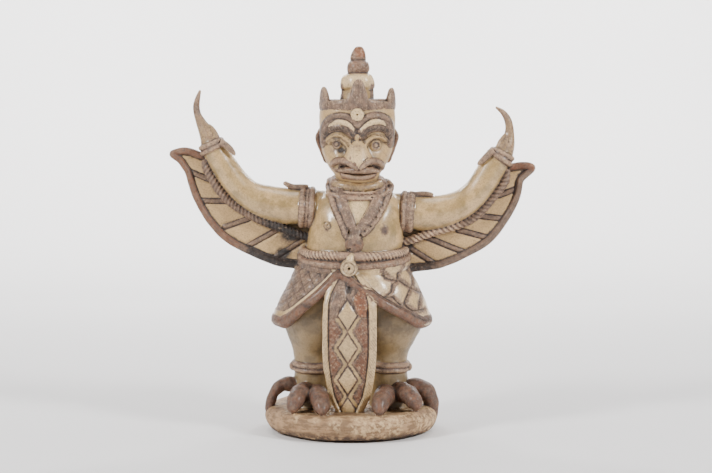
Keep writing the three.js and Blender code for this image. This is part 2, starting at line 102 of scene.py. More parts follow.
def evenly(rows, step, closed=False):
    """The same curve with its points a fixed step apart, found by reading it at equal lengths."""
    rough = spline(rows, 40 * len(rows), closed)
    if closed:
        rough = np.vstack([rough, rough[:1]])
    run = lengths(rough)
    count = max(4, int(round(run[-1] / step)) + 1)
    where = np.linspace(0, run[-1], count)
    even = np.stack([np.interp(where, run, column) for column in rough.T], axis=1)
    return even[:-1] if closed else even


print("a spline through 3 rows gives", spline([[0, 0], [1, 1], [2, 0]], 5).round(2).tolist())

# %% The clay that has been laid down so far
clay = []  # each strip or lump: its name, its points and its triangles
part_names = []  # the number of a name here is what each point remembers it by


def lay(name, rings, closed=False):
    """Keeps a surface through rings of points. Each cell between two rings becomes two triangles.
    An open row of rings is closed with a fan to the middle of its first and its last ring."""
    count, sides = rings.shape[:2]
    i = np.arange(count if closed else count - 1)[:, None] * np.ones(sides, int)
    j = np.arange(sides)[None, :] * np.ones(len(i), int)[:, None]
    here, beside = i * sides + j, i * sides + (j + 1) % sides
    there, across = (i + 1) % count * sides + j, (i + 1) % count * sides + (j + 1) % sides
    faces = [np.stack([here, beside, across], -1), np.stack([here, across, there], -1)]
    points = rings.reshape(-1, 3)
    if not closed:
        points = np.vstack([points, rings[0].mean(0), rings[-1].mean(0)])
        j = np.arange(sides)
        last = (count - 1) * sides
        first_middle = np.full(sides, count * sides)
        faces.append(np.stack([(j + 1) % sides, j, first_middle], -1))
        faces.append(np.stack([last + j, last + (j + 1) % sides, first_middle + 1], -1))
    if name not in part_names:
        part_names.append(name)
    clay.append((name, points, np.vstack([face.reshape(-1, 3) for face in faces])))


def unit(vectors):
    """The same directions with length one."""
    return vectors / np.maximum(np.linalg.norm(vectors, axis=-1, keepdims=True), 1e-9)


def tube(path, high, wide, sides, facing=(0, -1, 0), closed=False, swell=None):
    """Rings round a path: centre + towards `facing` times high times cosine + sideways times wide
    times sine. `swell` multiplies the radius by a function of the angle and the length run."""
    if closed:
        tangent = unit(np.roll(path, -1, 0) - np.roll(path, 1, 0))
    else:
        tangent = unit(np.gradient(path, axis=0))
    facing = np.broadcast_to(np.asarray(facing, float), path.shape)
    lift = unit(facing - (facing * tangent).sum(-1, keepdims=True) * tangent)
    across = np.cross(tangent, lift)
    angle = np.linspace(0, 2 * math.pi, sides, endpoint=False)[None, :]
    run = lengths(path)[:, None]
    size = np.ones((1, 1)) if swell is None else swell(angle, run)
    high = np.broadcast_to(high, len(path))[:, None] * size * np.cos(angle)
    wide = np.broadcast_to(wide, len(path))[:, None] * size * np.sin(angle)
    return path[:, None] + high[..., None] * lift[:, None] + wide[..., None] * across[:, None]


def limb(name, rows, sides=40, step=1.0, facing=(0, -1, 0), swell=None):
    """A tube through rows of x, y, height, radius towards `facing` and radius across it."""
    even = evenly(rows, step)
    path = even[:, :3] + (0, 0, PLINTH_TOP)
    lay(name, tube(path, even[:, 3], even[:, 4], sides, facing, swell=swell))


print("tools ready: spline, evenly, lay, tube, limb")

# %% [markdown]
# ## Tools for lines cut or raised on a form
#
# Brows, eyelids, folds and the pattern on the cloth are lines on a surface. A line is a row of
# points in the picture plane, and its height above the form depends only on how far a point lies
# from it. The same distances give the paint its edges later, so relief and colour always agree.

# %% Distance to a line, and the profile of a ridge
def distance_to(line, x, z):
    """Distance from each point to a line of straight pieces: the least of the distances to its
    pieces, each measured to the nearest point that lies on the piece."""
    line = np.asarray(line, float)
    start, way = line[:-1], np.diff(line, axis=0)
    offset = np.stack([x, z], -1)[..., None, :] - start
    share = np.clip((offset * way).sum(-1) / (way ** 2).sum(-1), 0, 1)
    return np.linalg.norm(offset - share[..., None] * way, axis=-1).min(-1)


def depth_inside(outline, x, z):
    """Distance to a closed outline, positive inside it: a point is inside when a level line from it
    crosses the outline an odd number of times."""
    corners = np.asarray(outline, float)
    crossings = np.zeros(np.shape(x), int)
    for (x0, z0), (x1, z1) in zip(corners, np.roll(corners, -1, 0)):
        spans = (z0 > z) != (z1 > z)
        crossings += spans & (x < x0 + (x1 - x0) * (z - z0) / (z1 - z0 if z1 != z0 else 1))
    return distance_to(np.vstack([corners, corners[:1]]), x, z) * np.where(crossings % 2 == 1, 1, -1)


def ridge(distance, half_width):
    """One on the line, falling along half a cosine wave to nothing at half_width."""
    return 0.5 + 0.5 * np.cos(math.pi * np.clip(distance / half_width, 0, 1))


def roll(distance, half_width):
    """The section of a coil that lies on a surface: half a circle, the root of one less the square
    of the distance counted in half widths."""
    return np.sqrt(np.clip(1 - (distance / half_width) ** 2, 0, 1))


def hill(x, z, x0, z0, wide, high):
    """A round swelling: e to the minus of the squared distance counted in its own widths."""
    return np.exp(-(((x - x0) / wide) ** 2 + ((z - z0) / high) ** 2))


def step_up(value, low, high):
    """Nothing below low, one above high, and an even S between them."""
    t = np.clip((value - low) / (high - low), 0, 1)
    return t * t * (3 - 2 * t)


print("a ridge 2 mm wide, 1 mm off its line:", round(float(ridge(np.array(1.0), 2.0)), 2))

# %% [markdown]
# ## Plinth
#
# The plinth is a thick cake of clay, thrown or patted round, with a soft edge and a top that sinks
# a little. A lathe turns one profile about the axis. A slow wave in the radius keeps it from
# looking machined.

# %% Plinth
PLINTH_EDGE = [[0.5, 0.3], [40, 0.3], [64.2, 0.3], [68.2, 1.5], [71.2, 5.4], [72.6, 10.6], [71.6, 15.4],
               [68.4, 18.8], [63, 20.2], [54, 19.4], [40, 18.6], [0.5, 18.5]]
# a row of PLINTH_EDGE: radius, height above the floor


def turned(name, profile, sides, wave):
    """A profile of radius and height turned about the upright axis, its radius less a slow wave."""
    angle = np.linspace(0, 2 * math.pi, sides, endpoint=False)
    slow = 1 - wave * (0.5 + 0.3 * np.sin(2 * angle + 0.6) + 0.2 * np.sin(3 * angle + 2.0))
    radius = profile[:, :1] * slow
    z = np.broadcast_to(profile[:, 1:], radius.shape)
    lay(name, np.stack([radius * np.cos(angle), radius * np.sin(angle), z], -1))


underside = evenly(PLINTH_EDGE[:3], 2.0)
turned("plinth", np.vstack([underside[:-1], evenly(PLINTH_EDGE[2:], 0.8)]), 260, wave=0.006)
print("plinth:", round(2 * max(radius for radius, _ in PLINTH_EDGE)), "mm across")

# %% [markdown]
# ## Legs and toes
#
# Two fat thighs meet under the skirt and narrow to the ankles. Two coils and a small knob go on each
# ankle. The toes are rolled sausages: three on each foot arch from the ankle to the plinth's top, and
# the outer one hooks over the plinth's rim.

# %% Legs with their anklets
LEG = [[14, 0, 104, 27, 31], [22, 0, 86, 30, 34], [27.5, 1.2, 70, 30, 32.5], [29.4, 0.6, 56, 24, 25.4],
       [30.5, 0, 44, 16.8, 18], [31, 0, 32, 15.5, 16], [32.5, 0, 14, 16.5, 16.5], [33, 0, -3, 19, 18.5]]
# a row of LEG: distance from the middle, shift to the viewer's right, height, half depth, half width
ANKLE = 31  # distance of the anklets' middle from the figure's
ANKLET_COILS = ((34.5, 16.4, 2.4), (30.2, 16.6, 2.0))  # height, radius, thickness
ANKLET_KNOB = ((44, 3.5), (49.5, 3.6), (51.5, 1.4))  # distance from the middle, radius


def leg(side):
    """A thigh that narrows to the ankle, with two coils and a small knob on its outer side."""
    rows = [[side * out + shift, 0, height, deep, wide] for out, shift, height, deep, wide in LEG]
    limb("leg", rows, 90, 1.2)
    angle = np.linspace(0, 2 * math.pi, 120, endpoint=False)
    for height, radius, thick in ANKLET_COILS:
        coil = np.stack([side * ANKLE + radius * np.cos(angle), radius * 0.98 * np.sin(angle),
                         np.full(120, height + PLINTH_TOP)], -1)
        lay("anklet", tube(coil, thick, thick, 14, (0, 0, 1), closed=True), closed=True)
    limb("anklet", [[side * out, -2, 32, size, size] for out, size in ANKLET_KNOB], 16, 0.8, (0, 0, 1))


print("a leg of", len(LEG), "sections, thickest", 2 * max(row[4] for row in LEG), "mm")

# %% Toes
PLINTH_RADIUS, KNUCKLES = 73, 11  # the second is the distance from one knuckle to the next
ARCH = [(0.0, 0.7), (0.42, 1.0), (0.8, 0.9), (0.99, 0.4), (1.0, 0.0)]  # share of the reach, of the height
TOE_SIZES = [[8.4, 10], [9, 9.4], [8.2, 8.2], [6.8, 6.2], [1.6, 1.4]]  # the two radii at each of them
HOOKED = {  # the outer toes hook over the rim, and one reaches further down than the other
    -1: [[-33, 0, 9, 8.2, 9.0], [-47, -3, 16.6, 6.4, 7.4], [-57.4, -5, 17.2, 5.6, 6.8],
         [-64.6, -6.5, 11.4, 4.6, 6.0], [-67.6, -7.5, 3, 4.2, 5.2], [-69, -8, -3, 3.4, 4.0],
         [-69.8, -8, -6.5, 1.4, 1.4]],
    1: [[33, 0, 8, 8.2, 9.6], [48, -3, 13.4, 8.6, 9.6], [57.6, -5, 14, 8.4, 9.4], [64.2, -7, 9.6, 7.6, 8.6],
        [67.8, -8, 1, 6, 6.8], [69.4, -8.5, -6, 4, 5.0], [70.2, -8.5, -11, 1.6, 1.8]],
}


def toe(rows, facing):
    """A sausage through rows of x, y, height and two radii, pinched at its knuckles. Its last fifth
    is the claw."""
    even = evenly(rows, 0.8)
    knuckle = 1 + 0.05 * np.cos(lengths(even) * 2 * math.pi / KNUCKLES)
    path = even[:, :3] + (0, 0, PLINTH_TOP)
    rings = tube(path, even[:, 3] * knuckle, even[:, 4] * knuckle, 36, facing)
    last = int(len(rings) * 0.8)
    lay("toe", rings[:last + 1])
    lay("claw", rings[last:])


def arched_toe(side, turn, arch, reach, thick):
    """A toe from the ankle over an arch to the plinth's top, in a direction turned from the front by
    so many degrees. Its reach is a share of the plinth's radius, its thickness a share of its sizes."""
    way = np.array([side * math.sin(math.radians(turn)), -math.cos(math.radians(turn)), 0])
    ankle, end = np.array([side * 33, 0, 0]), way * PLINTH_RADIUS * reach
    path = [(1 - share) * ankle + share * end + (0, 0, arch * height) for share, height in ARCH]
    toe(np.hstack([path, thick * np.array(TOE_SIZES)]), way + (0, 0, 1))


for side in (-1, 1):
    leg(side)
    toe(HOOKED[side], (side, 0, 1))
    for shape in ((50 + 4 * side, 13, 0.90, 0.92), (22, 11.5, 0.84, 0.92), (150, 11, 0.82, 0.92)):
        arched_toe(side, *shape)
print("legs and", sum(name == "toe" for name, _, _ in clay), "toes")

# %% [markdown]
# ## Body and belt
#
# The potter's hollow body is a barrel. Its sections are fuller than ellipses, so each ring uses a
# squared ellipse, and a smooth curve runs up through the sections. The belt is a rolled rope over
# a plain band, laid round the same barrel.

# %% Rings with full corners
SQUARENESS = 2.3  # a plain ellipse has 2


def full(value):
    """The sign of a cosine or sine times its size to a power under one, which fills the corners."""
    return np.sign(value) * np.abs(value) ** (2 / SQUARENESS)


def barrel(rows, sides, count):
    """Rings through rows of height, centre x, centre y, half width and half depth."""
    z, x, y, half_width, half_depth = spline(rows, count).T[:, :, None]
    angle = np.linspace(0, 2 * math.pi, sides, endpoint=False)[None, :]
    level = np.broadcast_to(z + PLINTH_TOP, (count, sides))
    x, y = x + half_width * full(np.cos(angle)), y + half_depth * full(np.sin(angle))
    return np.stack([x, y, level], -1)


def depth_of_front(rows, x, z):
    """Distance of a barrel's front ahead of the axis at a width and a height: the squared ellipse
    solved for its depth."""
    table = spline(rows, 200)
    centre, middle, half_width, half_depth = (np.interp(z, table[:, 0], table[:, k]) for k in (1, 2, 3, 4))
    sideways = np.minimum(np.abs(x - centre) / half_width, 0.999)
    return half_depth * (1 - sideways ** SQUARENESS) ** (1 / SQUARENESS) - middle


print("half way round a corner a ring reaches", round(float(full(math.sqrt(0.5))), 2), "of its half width")

# %% Body
TORSO = [[96, 2, 0, 28, 22], [112, 2.2, 0, 40, 32], [122, 2.6, 0, 41.5, 33.5], [132.6, 3, 0, 39.6, 32.7],
         [142, 3.8, 0, 39.4, 32.7], [154, 4.6, 0, 38.4, 31.3], [165, 5.2, 0, 37.6, 28.8],
         [173, 5.5, 0, 35, 25.5], [178, 5.6, 0, 29, 22], [182, 5.4, -0.5, 22, 19], [188, 5.3, -2, 18.6, 17],
         [198, 5.2, -3, 18, 16.5]]
SWELLINGS = ((1.6, -16, 156, 15, 12), (1.6, 26, 154, 15, 12), (1.2, 3, 137, 20, 9))
# a row of SWELLINGS: how far it stands out, its middle, its spread sideways and upwards
body = barrel(TORSO, 240, 110)
front = step_up(-body[..., 1], 4, 20)
across, height = body[..., 0], body[..., 2] - PLINTH_TOP
body[..., 1] -= front * sum(out * hill(across, height, *where) for out, *where in SWELLINGS)
lay("body", body)
print("body: chest", round(float(np.ptp(body[60, :, 0]))), "mm wide")

# %% Belt: a twisted rope over a plain band
WAIST_MIDDLE = 2.6  # where the belt's middle lies across the picture


def round_waist(height, half_width, half_depth, dip):
    """A level loop round the barrel that dips in front by a share of how far forward it is."""
    angle = np.linspace(0, 2 * math.pi, 420, endpoint=False)
    forward = 0.5 - 0.5 * np.sin(angle)
    return np.stack([WAIST_MIDDLE + half_width * full(np.cos(angle)), half_depth * full(np.sin(angle)),
                     PLINTH_TOP + height - dip * forward ** 2], -1)


def twisted(pitch, depth, strands=3):
    """Strands laid round each other: the radius follows the size of the cosine of half the angle
    times their number, less half a turn for each pitch run. The depth may vary along the rope."""
    def radius(angle, run):
        return 1 - depth + depth * np.abs(np.cos(strands * angle / 2 - run * math.pi / pitch))

    return radius


away = round_waist(128, 1, 1, 0) - (WAIST_MIDDLE, 0, PLINTH_TOP + 128)
rope = round_waist(130.2, 42.2, 35.4, 2.4)
from_knot = np.abs(rope[:, :1] - 1) + 40 * (rope[:, 1:2] > 0)  # behind, the rope is far from it
twist = twisted(3.1, 0.36 * step_up(from_knot, 7, 15))
lay("belt rope", tube(rope, 3.6, 3.7, 30, away, closed=True, swell=twist), closed=True)
UNDER_ROPE = (("band", (126.8, 44.2, 37.6, 7.0), (3.1, 2.9), 20),
              ("band", (126.2, 41.6, 34.6, 4.8), (3.0, 3.4), 16),
              ("skirt", (122.0, 44.4, 36.6, 6.0), (2.6, 4.2), 16))
for name, loop, radii, sides in UNDER_ROPE:
    lay(name, tube(round_waist(*loop), *radii, sides, away, closed=True), closed=True)
print("belt: rope", round(float(lengths(rope)[-1])), "mm round")

# %% [markdown]
# ## Skirt
#
# The skirt is a slab of clay wrapped round the hips. It flares, hangs low at the sides and sweeps
# up to the sash in front. Its hem is rolled over into a fat lip. The slab is a sheet with an
# outside and an inside, so a loop of points runs down one face and up the other, and that loop is
# carried round the figure.

# %% The skirt's flare and its hem line
WAIST, HEM_LOW = 117.0, 70.0
SKIRT_MIDDLE = 2.0  # where its middle lies across the picture
WAIST_HALVES, FLARE = (47.6, 37.5), (0.43, 0.28)  # half width and depth, and what a mm further down adds


def hem_height(angle):
    """Low at the sides and back. In front it rises with a power of how near the middle it is, by
    43 mm on the figure's right flap and by 27 on its left one."""
    from_front = np.degrees(np.arccos(np.clip(-np.sin(angle), -1, 1)))
    share = np.clip((from_front - 14) / 50, 0, 1)
    sweep = 43 - 16 * step_up(np.cos(angle), -0.3, 0.3)
    return HEM_LOW + sweep * (1 - share) ** 1.4


def skirt_point(angle, height, out):
    """A point of the flared skirt: wider below the waist, its side a little rounded."""
    down = WAIST - height
    bulge = 1.4 * np.sin(math.pi * np.clip(down / 50, 0, 1))
    narrower = 1 - 0.035 * step_up(np.cos(angle), 0.0, 0.6)
    x = SKIRT_MIDDLE + (WAIST_HALVES[0] + FLARE[0] * down + bulge + out) * np.cos(angle) * narrower
    y = (WAIST_HALVES[1] + FLARE[1] * down + bulge + out) * np.sin(angle)
    return np.stack([x, y, PLINTH_TOP + height + 0 * x], -1)


print("hem at the front", float(hem_height(-math.pi / 2)), "mm, at the side", float(hem_height(0.0)), "mm")

# %% The lines on the skirt
def lattice(angle, height, wide, high):
    """Distance in millimetres to the nearest of two families of slanting lines."""
    across = np.cos(angle) * 60
    slant = math.hypot(wide, high)
    first = np.abs((across / wide + height / high + 0.5) % 1 - 0.5)
    second = np.abs((across / wide - height / high + 0.5) % 1 - 0.5)
    return np.minimum(first, second) * wide * high / slant


FLAP = [  # lines drawn on the figure's left flap
    [[23.9, 116.4], [27.8, 109.8], [34.4, 108.0], [39.0, 107.5], [45.5, 103.0], [50.2, 99.8], [58.5, 94.6]],
    [[38.8, 120.0], [38.5, 114.3], [37.6, 106.8], [33.9, 104.9], [32.5, 98.6], [27.8, 95.1]],
    [[44.6, 118.0], [50.6, 110.1], [50.9, 103.5], [47.4, 97.9], [44.6, 92.2], [43.2, 88.5]],
    [[58.5, 94.6], [56.7, 89.9], [55.7, 83.5]],
    [[43.2, 88.5], [46.0, 85.2], [51.1, 82.3], [60.4, 81.9]],
    [[27.8, 95.1], [33.9, 94.6], [39.9, 88.5]],
]


def skirt_lines(angle, height):
    """Distance to the skirt's lines: those drawn on the figure's left flap, a dense lattice on its
    right flap and an open one behind, both kept off the plain strip above the hem."""
    x = skirt_point(angle, height, 0.0)[..., 0]
    drawn = np.min([distance_to(line, x, height + 0 * x) for line in FLAP], axis=0)
    behind = np.where(height - hem_height(angle) > 3, lattice(angle, height, 12.5, 17.0), 9.0)
    dense = np.where(height - hem_height(angle) > 11, lattice(angle, height, 10.0, 12.0), 9.0)
    in_front = np.where(np.cos(angle) < 0, dense, drawn)
    return np.where(np.sin(angle) < 0, in_front, behind)


print("lines drawn on the figure's left flap:", len(FLAP))

# %% The skirt's slab and its rolled hem
angle = np.linspace(0, 2 * math.pi, 760, endpoint=False)[:, None]
share = np.linspace(0, 1, 64)[None, :]
outer_height = WAIST + (hem_height(angle) - WAIST) * share
lines = skirt_lines(angle, outer_height)
cut = (1.1 - 0.5 * (np.cos(angle) < 0)) * ridge(lines, 1.4)
puffed = 0.9 * np.clip(lines / 5, 0, 1) ** 0.7
outside = skirt_point(angle, outer_height, puffed - cut)
inside = skirt_point(angle, outer_height[:, ::-1], -4.2)
lay("skirt", np.concatenate([outside, inside], 1), closed=True)
hem_angle = np.linspace(0, 2 * math.pi, 520, endpoint=False)
at_side = step_up(np.abs(np.cos(hem_angle)), 0.55, 0.95)
low_edge = hem_height(hem_angle)
hem = skirt_point(hem_angle, low_edge + 0.6 + 1.6 * at_side, 0.6 - 4.0 * at_side)
outwards = skirt_point(hem_angle, low_edge, 1.0) - skirt_point(hem_angle, low_edge, 0.0)
fat = 3.4 + 1.3 * at_side
lay("hem", tube(hem, fat, fat * 1.2, 30, outwards, closed=True), closed=True)
print("skirt:", round(2 * float(hem[:, 0].max())), "mm across the hem")

# %% [markdown]
# ## Sash
#
# A broad tongue of cloth hangs down the front from the knot to the plinth. Pale edges run along
# it, and between them a chain of pale diamonds stands on a painted ground that is scored with
# slanting strokes. The pattern is a distance to those lines, as on the skirt.

# %% The sash's lines
SASH = [[-2, -36.5, 11], [12, -38, 17], [28, -41, 20], [46, -45.5, 22], [64, -49, 22.5], [84, -50, 22.1],
        [92, -48.6, 21.4], [99.5, -46.4, 19.3], [107, -43.6, 15.3], [115, -39.5, 9.5]]
# a row of SASH: height, y of the front, half width
SASH_MIDDLE = -0.9
DIAMOND = [8.1, 12.9, 81.0]  # half width, half height, height of the first one's middle
PIT = [-1.2, 102.9, 1.5, 3.0]  # a hole in the fold: its middle and its half sizes
LAPELS = [
    [[2.5, 97], [8.5, 103.1], [12.0, 98.4], [14.2, 88.2], [12.6, 79.4], [8.5, 79.6], [5.2, 82.8],
     [1.8, 91.6]],
    [[-11.6, 104.5], [-4.5, 104.5], [-3.5, 93.6], [-9.6, 86.8], [-10.9, 80.1], [-16.3, 80.1],
     [-17.4, 89.6]],
]


def sash_pattern(x, z):
    """Distance to the outline of the diamonds, and how far inside one a point is, both counted
    along a slanting edge's own normal."""
    wide, high, first = DIAMOND
    pitch = 2 * high + 1.6
    up = (z - first + pitch / 2) % pitch - pitch / 2
    slant = math.hypot(wide, high)
    depth = (1 - np.abs(x - SASH_MIDDLE + 1.7) / wide - np.abs(up) / high) * wide * high / slant
    return np.abs(depth), depth


def sash_inside(x, half_width):
    """Distance inside the pale edge, which is 4 mm broad on one side and 6.2 on the other."""
    return half_width - np.where(x < SASH_MIDDLE, 4.0, 6.2) - np.abs(x - SASH_MIDDLE)


def sash_relief(x, z, half_width):
    """Raised edges, a groove inside them, raised diamonds with a rim, and scored strokes."""
    deep = sash_inside(x, half_width)
    outline, depth = sash_pattern(x, z)
    relief = 1.6 * step_up(-deep, -0.7, 0.7) - 0.9 * ridge(np.abs(deep - 0.8), 1.2)
    field = (deep > 1.2) & (z < 96)
    stroke = np.abs(((np.abs(x - SASH_MIDDLE) / 3.4 + z / 5.6) + 0.5) % 1 - 0.5) * 3.4
    relief += field * (0.9 * step_up(depth, -0.5, 0.5) - 0.8 * ridge(outline, 1.1))
    for lapel in LAPELS:
        relief += 1.1 * step_up(depth_inside(lapel, x, z), -0.6, 0.8)
    relief -= 3.0 * ridge(np.hypot((x - PIT[0]) / PIT[2], (z - PIT[1]) / PIT[3]), 1.0)
    return relief - field * (depth < -1.6) * 0.4 * ridge(stroke, 0.9)


print("sash: diamonds", 2 * DIAMOND[0], "by", 2 * DIAMOND[1], "mm")

# %% Sash
rows = spline(SASH, 210)
across = np.linspace(-1, 1, 90)
half_width = rows[:, 2:3]
x = SASH_MIDDLE + half_width * across
z = np.broadcast_to(rows[:, :1], x.shape)
rounding = 1.8 * np.abs(across) ** 6 + 2.6 * across ** 2
face = np.stack([x, rows[:, 1:2] + rounding - sash_relief(x, z, half_width), z + PLINTH_TOP], -1)
back = np.stack([x[:, ::-1], rows[:, 1:2] + 7 + 0 * x, z + PLINTH_TOP], -1)
lay("sash", np.concatenate([face, back], 1))
print("sash:", round(2 * float(half_width.max())), "mm wide")

# %% [markdown]
# ## Jewels
#
# The knot, the mark on the forehead and the nipples are pressed rings with a boss, some with a
# hole pricked by a stick. Each is a small turned profile laid on its back against the body. A drop
# of clay sits above the knot.

# %% Jewels on the belt, the forehead and the chest
def jewel(name, x, z, front, profile):
    """A profile of radius and height, turned about an axis that points at the viewer."""
    radius, rise = evenly(profile, 0.35)[:, :2].T[:, :, None]
    angle = np.linspace(0, 2 * math.pi, 48, endpoint=False)[None, :]
    y = -(front + rise) + 0 * angle
    lay(name, np.stack([x + radius * np.cos(angle), y, PLINTH_TOP + z + radius * np.sin(angle)], -1))


def ring_with_boss(radius, rise, hole=True):
    """Half a section: a rim, a groove, and a boss that is pierced or domed."""
    middle = [[0.2, 0.6], [0.17, -0.6], [0.02, -0.8]] if hole else [[0.1, 0.95], [0.02, 1.0]]
    section = [[0.02, -2.5], [0.98, -2.5], [1.0, 0.2], [0.94, 0.85], [0.84, 0.95], [0.76, 0.5], [0.7, 0.1],
               [0.62, 0.5], [0.5, 0.85], [0.34, 0.9]] + middle
    return [[radius * out, rise * up] for out, up in section]


jewel("knot", -1.3, 118.9, 41.8, ring_with_boss(6.8, 2.4))
limb("drop", [[-0.8, -38, 122, 2.2, 2.6], [-0.6, -40, 125.6, 2.4, 3.0], [0.6, -39.6, 128.6, 1.8, 2.2],
              [1.4, -38, 131, 0.7, 0.8]], 20, 0.6)
jewel("nipple", -18.8, 152.4, depth_of_front(TORSO, -18.8, 152.4) + 1.4, ring_with_boss(2.7, 1.8))
jewel("nipple", 27.1, 149.4, depth_of_front(TORSO, 27.1, 149.4) + 0.2, ring_with_boss(3.4, 1.0, hole=False))
print("jewels laid:", sum(name in ("knot", "nipple") for name, _, _ in clay))

# %% [markdown]
# ## Garland and collars
#
# A flat strap hangs in a V from the nape to a pendant. Its edges were pressed into beads. Its path
# is drawn in the picture plane and set on the chest by the depth of the barrel there, so it lies on
# the body wherever it runs. A soft roll and two coils round the neck are the collars.

# %% Lines that lie on the body
def on_chest(points, lift):
    """The points of a line in the picture plane, moved out to the front of the chest."""
    points = np.asarray(points, float)
    front = depth_of_front(TORSO, points[:, 0], np.minimum(points[:, 1], 186)) + lift
    return np.stack([points[:, 0], -front, points[:, 1]], -1)


def round_body(rows, height, lift):
    """A loop on a barrel: its height is a function of the angle, and its width and depth are the
    barrel's own at that height, plus a lift."""
    angle = np.linspace(0, 2 * math.pi, 260, endpoint=False)
    z = height(angle)
    table = spline(rows, 300)
    x, y, half_width, half_depth = (np.interp(z, table[:, 0], table[:, k]) for k in (1, 2, 3, 4))
    x, y = x + (half_width + lift) * full(np.cos(angle)), y + (half_depth + lift) * full(np.sin(angle))
    return np.stack([x, y, z + PLINTH_TOP], -1)


print("the chest lies", round(float(depth_of_front(TORSO, 3, 138))), "mm ahead of the axis at the pendant")

# %% Garland with its pendant
PITS = [[-1.5, 147.6, 1.6, 2.8, 2.8], [7.8, 145.2, 1.8, 2.0, 2.6], [17.2, 175.8, 1.8, 1.0, 1.4],
        [23.4, 165.0, 1.0, 1.2, 1.6], [20.6, 159.4, 1.1, 1.3, 1.7], [16.3, 152.3, 1.2, 1.2, 1.8],
        [11.4, 148.6, 1.1, 1.1, 1.4], [26.4, 169.4, 0.9, 1.0, 1.2], [-0.6, 134.2, 1.5, 1.2, 1.4],
        [-19.3, 153.3, 1.0, 1.0, 1.8], [1.0, 292.6, 1.3, 1.3, 1.2], [-6.9, 200.9, 2.4, 1.9, 2.4],
        [20.4, 200.1, 2.4, 1.9, 2.4]]  # holes pricked after the skin is made: middle, half sizes, depth
BEADED = [[[-18.6, 183.4], [-15.8, 174.2], [-12.8, 166.2], [-9.2, 157.7], [-5.8, 149.9], [-2.4, 143.4]],
          [[33.0, 182.4], [29.2, 173.3], [25.0, 165.8], [20.8, 158.2], [15.6, 151.2], [8.8, 145.4]]]
FLAT = [[[-11.6, 184], [-9.2, 177], [-6.7, 170], [-3.6, 162], [-1.2, 155.2], [1.6, 148.6]],
        [[25.6, 184], [23.4, 177], [20.0, 170], [16.6, 163.4], [12.8, 156.8], [8.0, 150.0]]]
NAPE = [[31.6, -3, 185.6], [27, 9, 188], [5, 19.0, 189], [-15.5, 9, 188.4], [-17.9, -3, 186.0]]
INNER_NAPE = [[25, -9, 187.6], [23.4, 3, 190.2], [5, 15.4, 191.6], [-12.6, 3, 190.2], [-13.8, -9, 187.6]]


def strap(name, lines, nape, lift, high, wide, swell):
    """A strip down one side of the chest, up the other and round the nape."""
    path = np.vstack([on_chest(lines[0], lift), on_chest(lines[1][::-1], lift), nape])
    path = evenly(path, 0.6, closed=True) + (0, 0, PLINTH_TOP)
    away = np.stack([0.7 * (path[:, 0] - 5), 1.5 * path[:, 1] - 4, np.full(len(path), 14.0)], -1)
    lay(name, tube(path, high, wide, 30, away, closed=True, swell=swell), closed=True)
    return float(lengths(path)[-1])


def beads(pitch, depth):
    """A strip pressed into beads: the radius follows a cosine of the length run, and a slower wave
    added to that length makes some beads longer than others."""
    def radius(angle, run):
        return 1 - depth + depth * np.cos(run * 2 * math.pi / pitch + 1.3 * np.sin(run * 0.31))

    return radius


def creased(angle, run):
    """Two grooves along a flat strip, half way from its middle to its edges."""
    return 1 - 0.14 * ridge(np.abs(np.abs(np.sin(angle)) - 0.5), 0.16)


beaded_length = strap("garland", BEADED, NAPE, 0.8, 2.8, 2.7, beads(3.5, 0.06))
strap("garland", FLAT, INNER_NAPE, 0.9, 2.5, 4.6, creased)
PENDANT = [[0.1, -3], [6.6, -3], [7.4, 0], [7.5, 2.6], [6.7, 5.2], [5.0, 7.2], [3.2, 8.0], [2.2, 8.1],
           [1.4, 7.7], [0.1, 7.6]]  # radius, height above the chest
jewel("pendant", 3.0, 137.8, depth_of_front(TORSO, 3.0, 138) - 2.4, PENDANT)
limb("garland", [[3.4, -33, 151, 1.6, 3.0], [3.4, -35, 147, 2.4, 4.4], [3.2, -36.5, 143, 2.6, 5.4],
                 [3.0, -36.5, 139, 2.0, 4.0]], 30, 0.6)
limb("garland", [[-17, 0, 182, 9, 5], [-9, 1, 184.6, 12, 6], [6, 1, 186, 14, 6], [22, 1, 184.6, 12, 6],
                 [30, 0, 182, 9, 5]], 40, 1.0)
print("garland:", round(beaded_length), "mm of beaded strip")

# %% Collars
def collar(name, nape, dip, thick, lift):
    """A coil round the neck that dips in front, by a power of how far forward it is."""
    path = round_body(TORSO, lambda angle: nape - dip * (0.5 - 0.5 * np.sin(angle)) ** 1.5, lift)
    lay(name, tube(path, thick, thick, 20, (0, 0, 1), closed=True), closed=True)


collar("neck", 190.8, 7.6, 2.9, 1.3)
collar("collar", 189.6, 10.9, 1.3, 2.2)
collar("collar", 187.6, 12.4, 2.2, 1.5)
print("collars laid:", sum(name in ("neck", "collar") for name, _, _ in clay))

# %% [markdown]
# ## Head and face
#
# The head is a barrel that narrows to the chin. The face is modelled on it as a height above the
# barrel: arched strips, eyelids and brows are ridges along lines, the eyes and cheeks are hills.
# The potter's two halves don't match, so each half has its own lines.

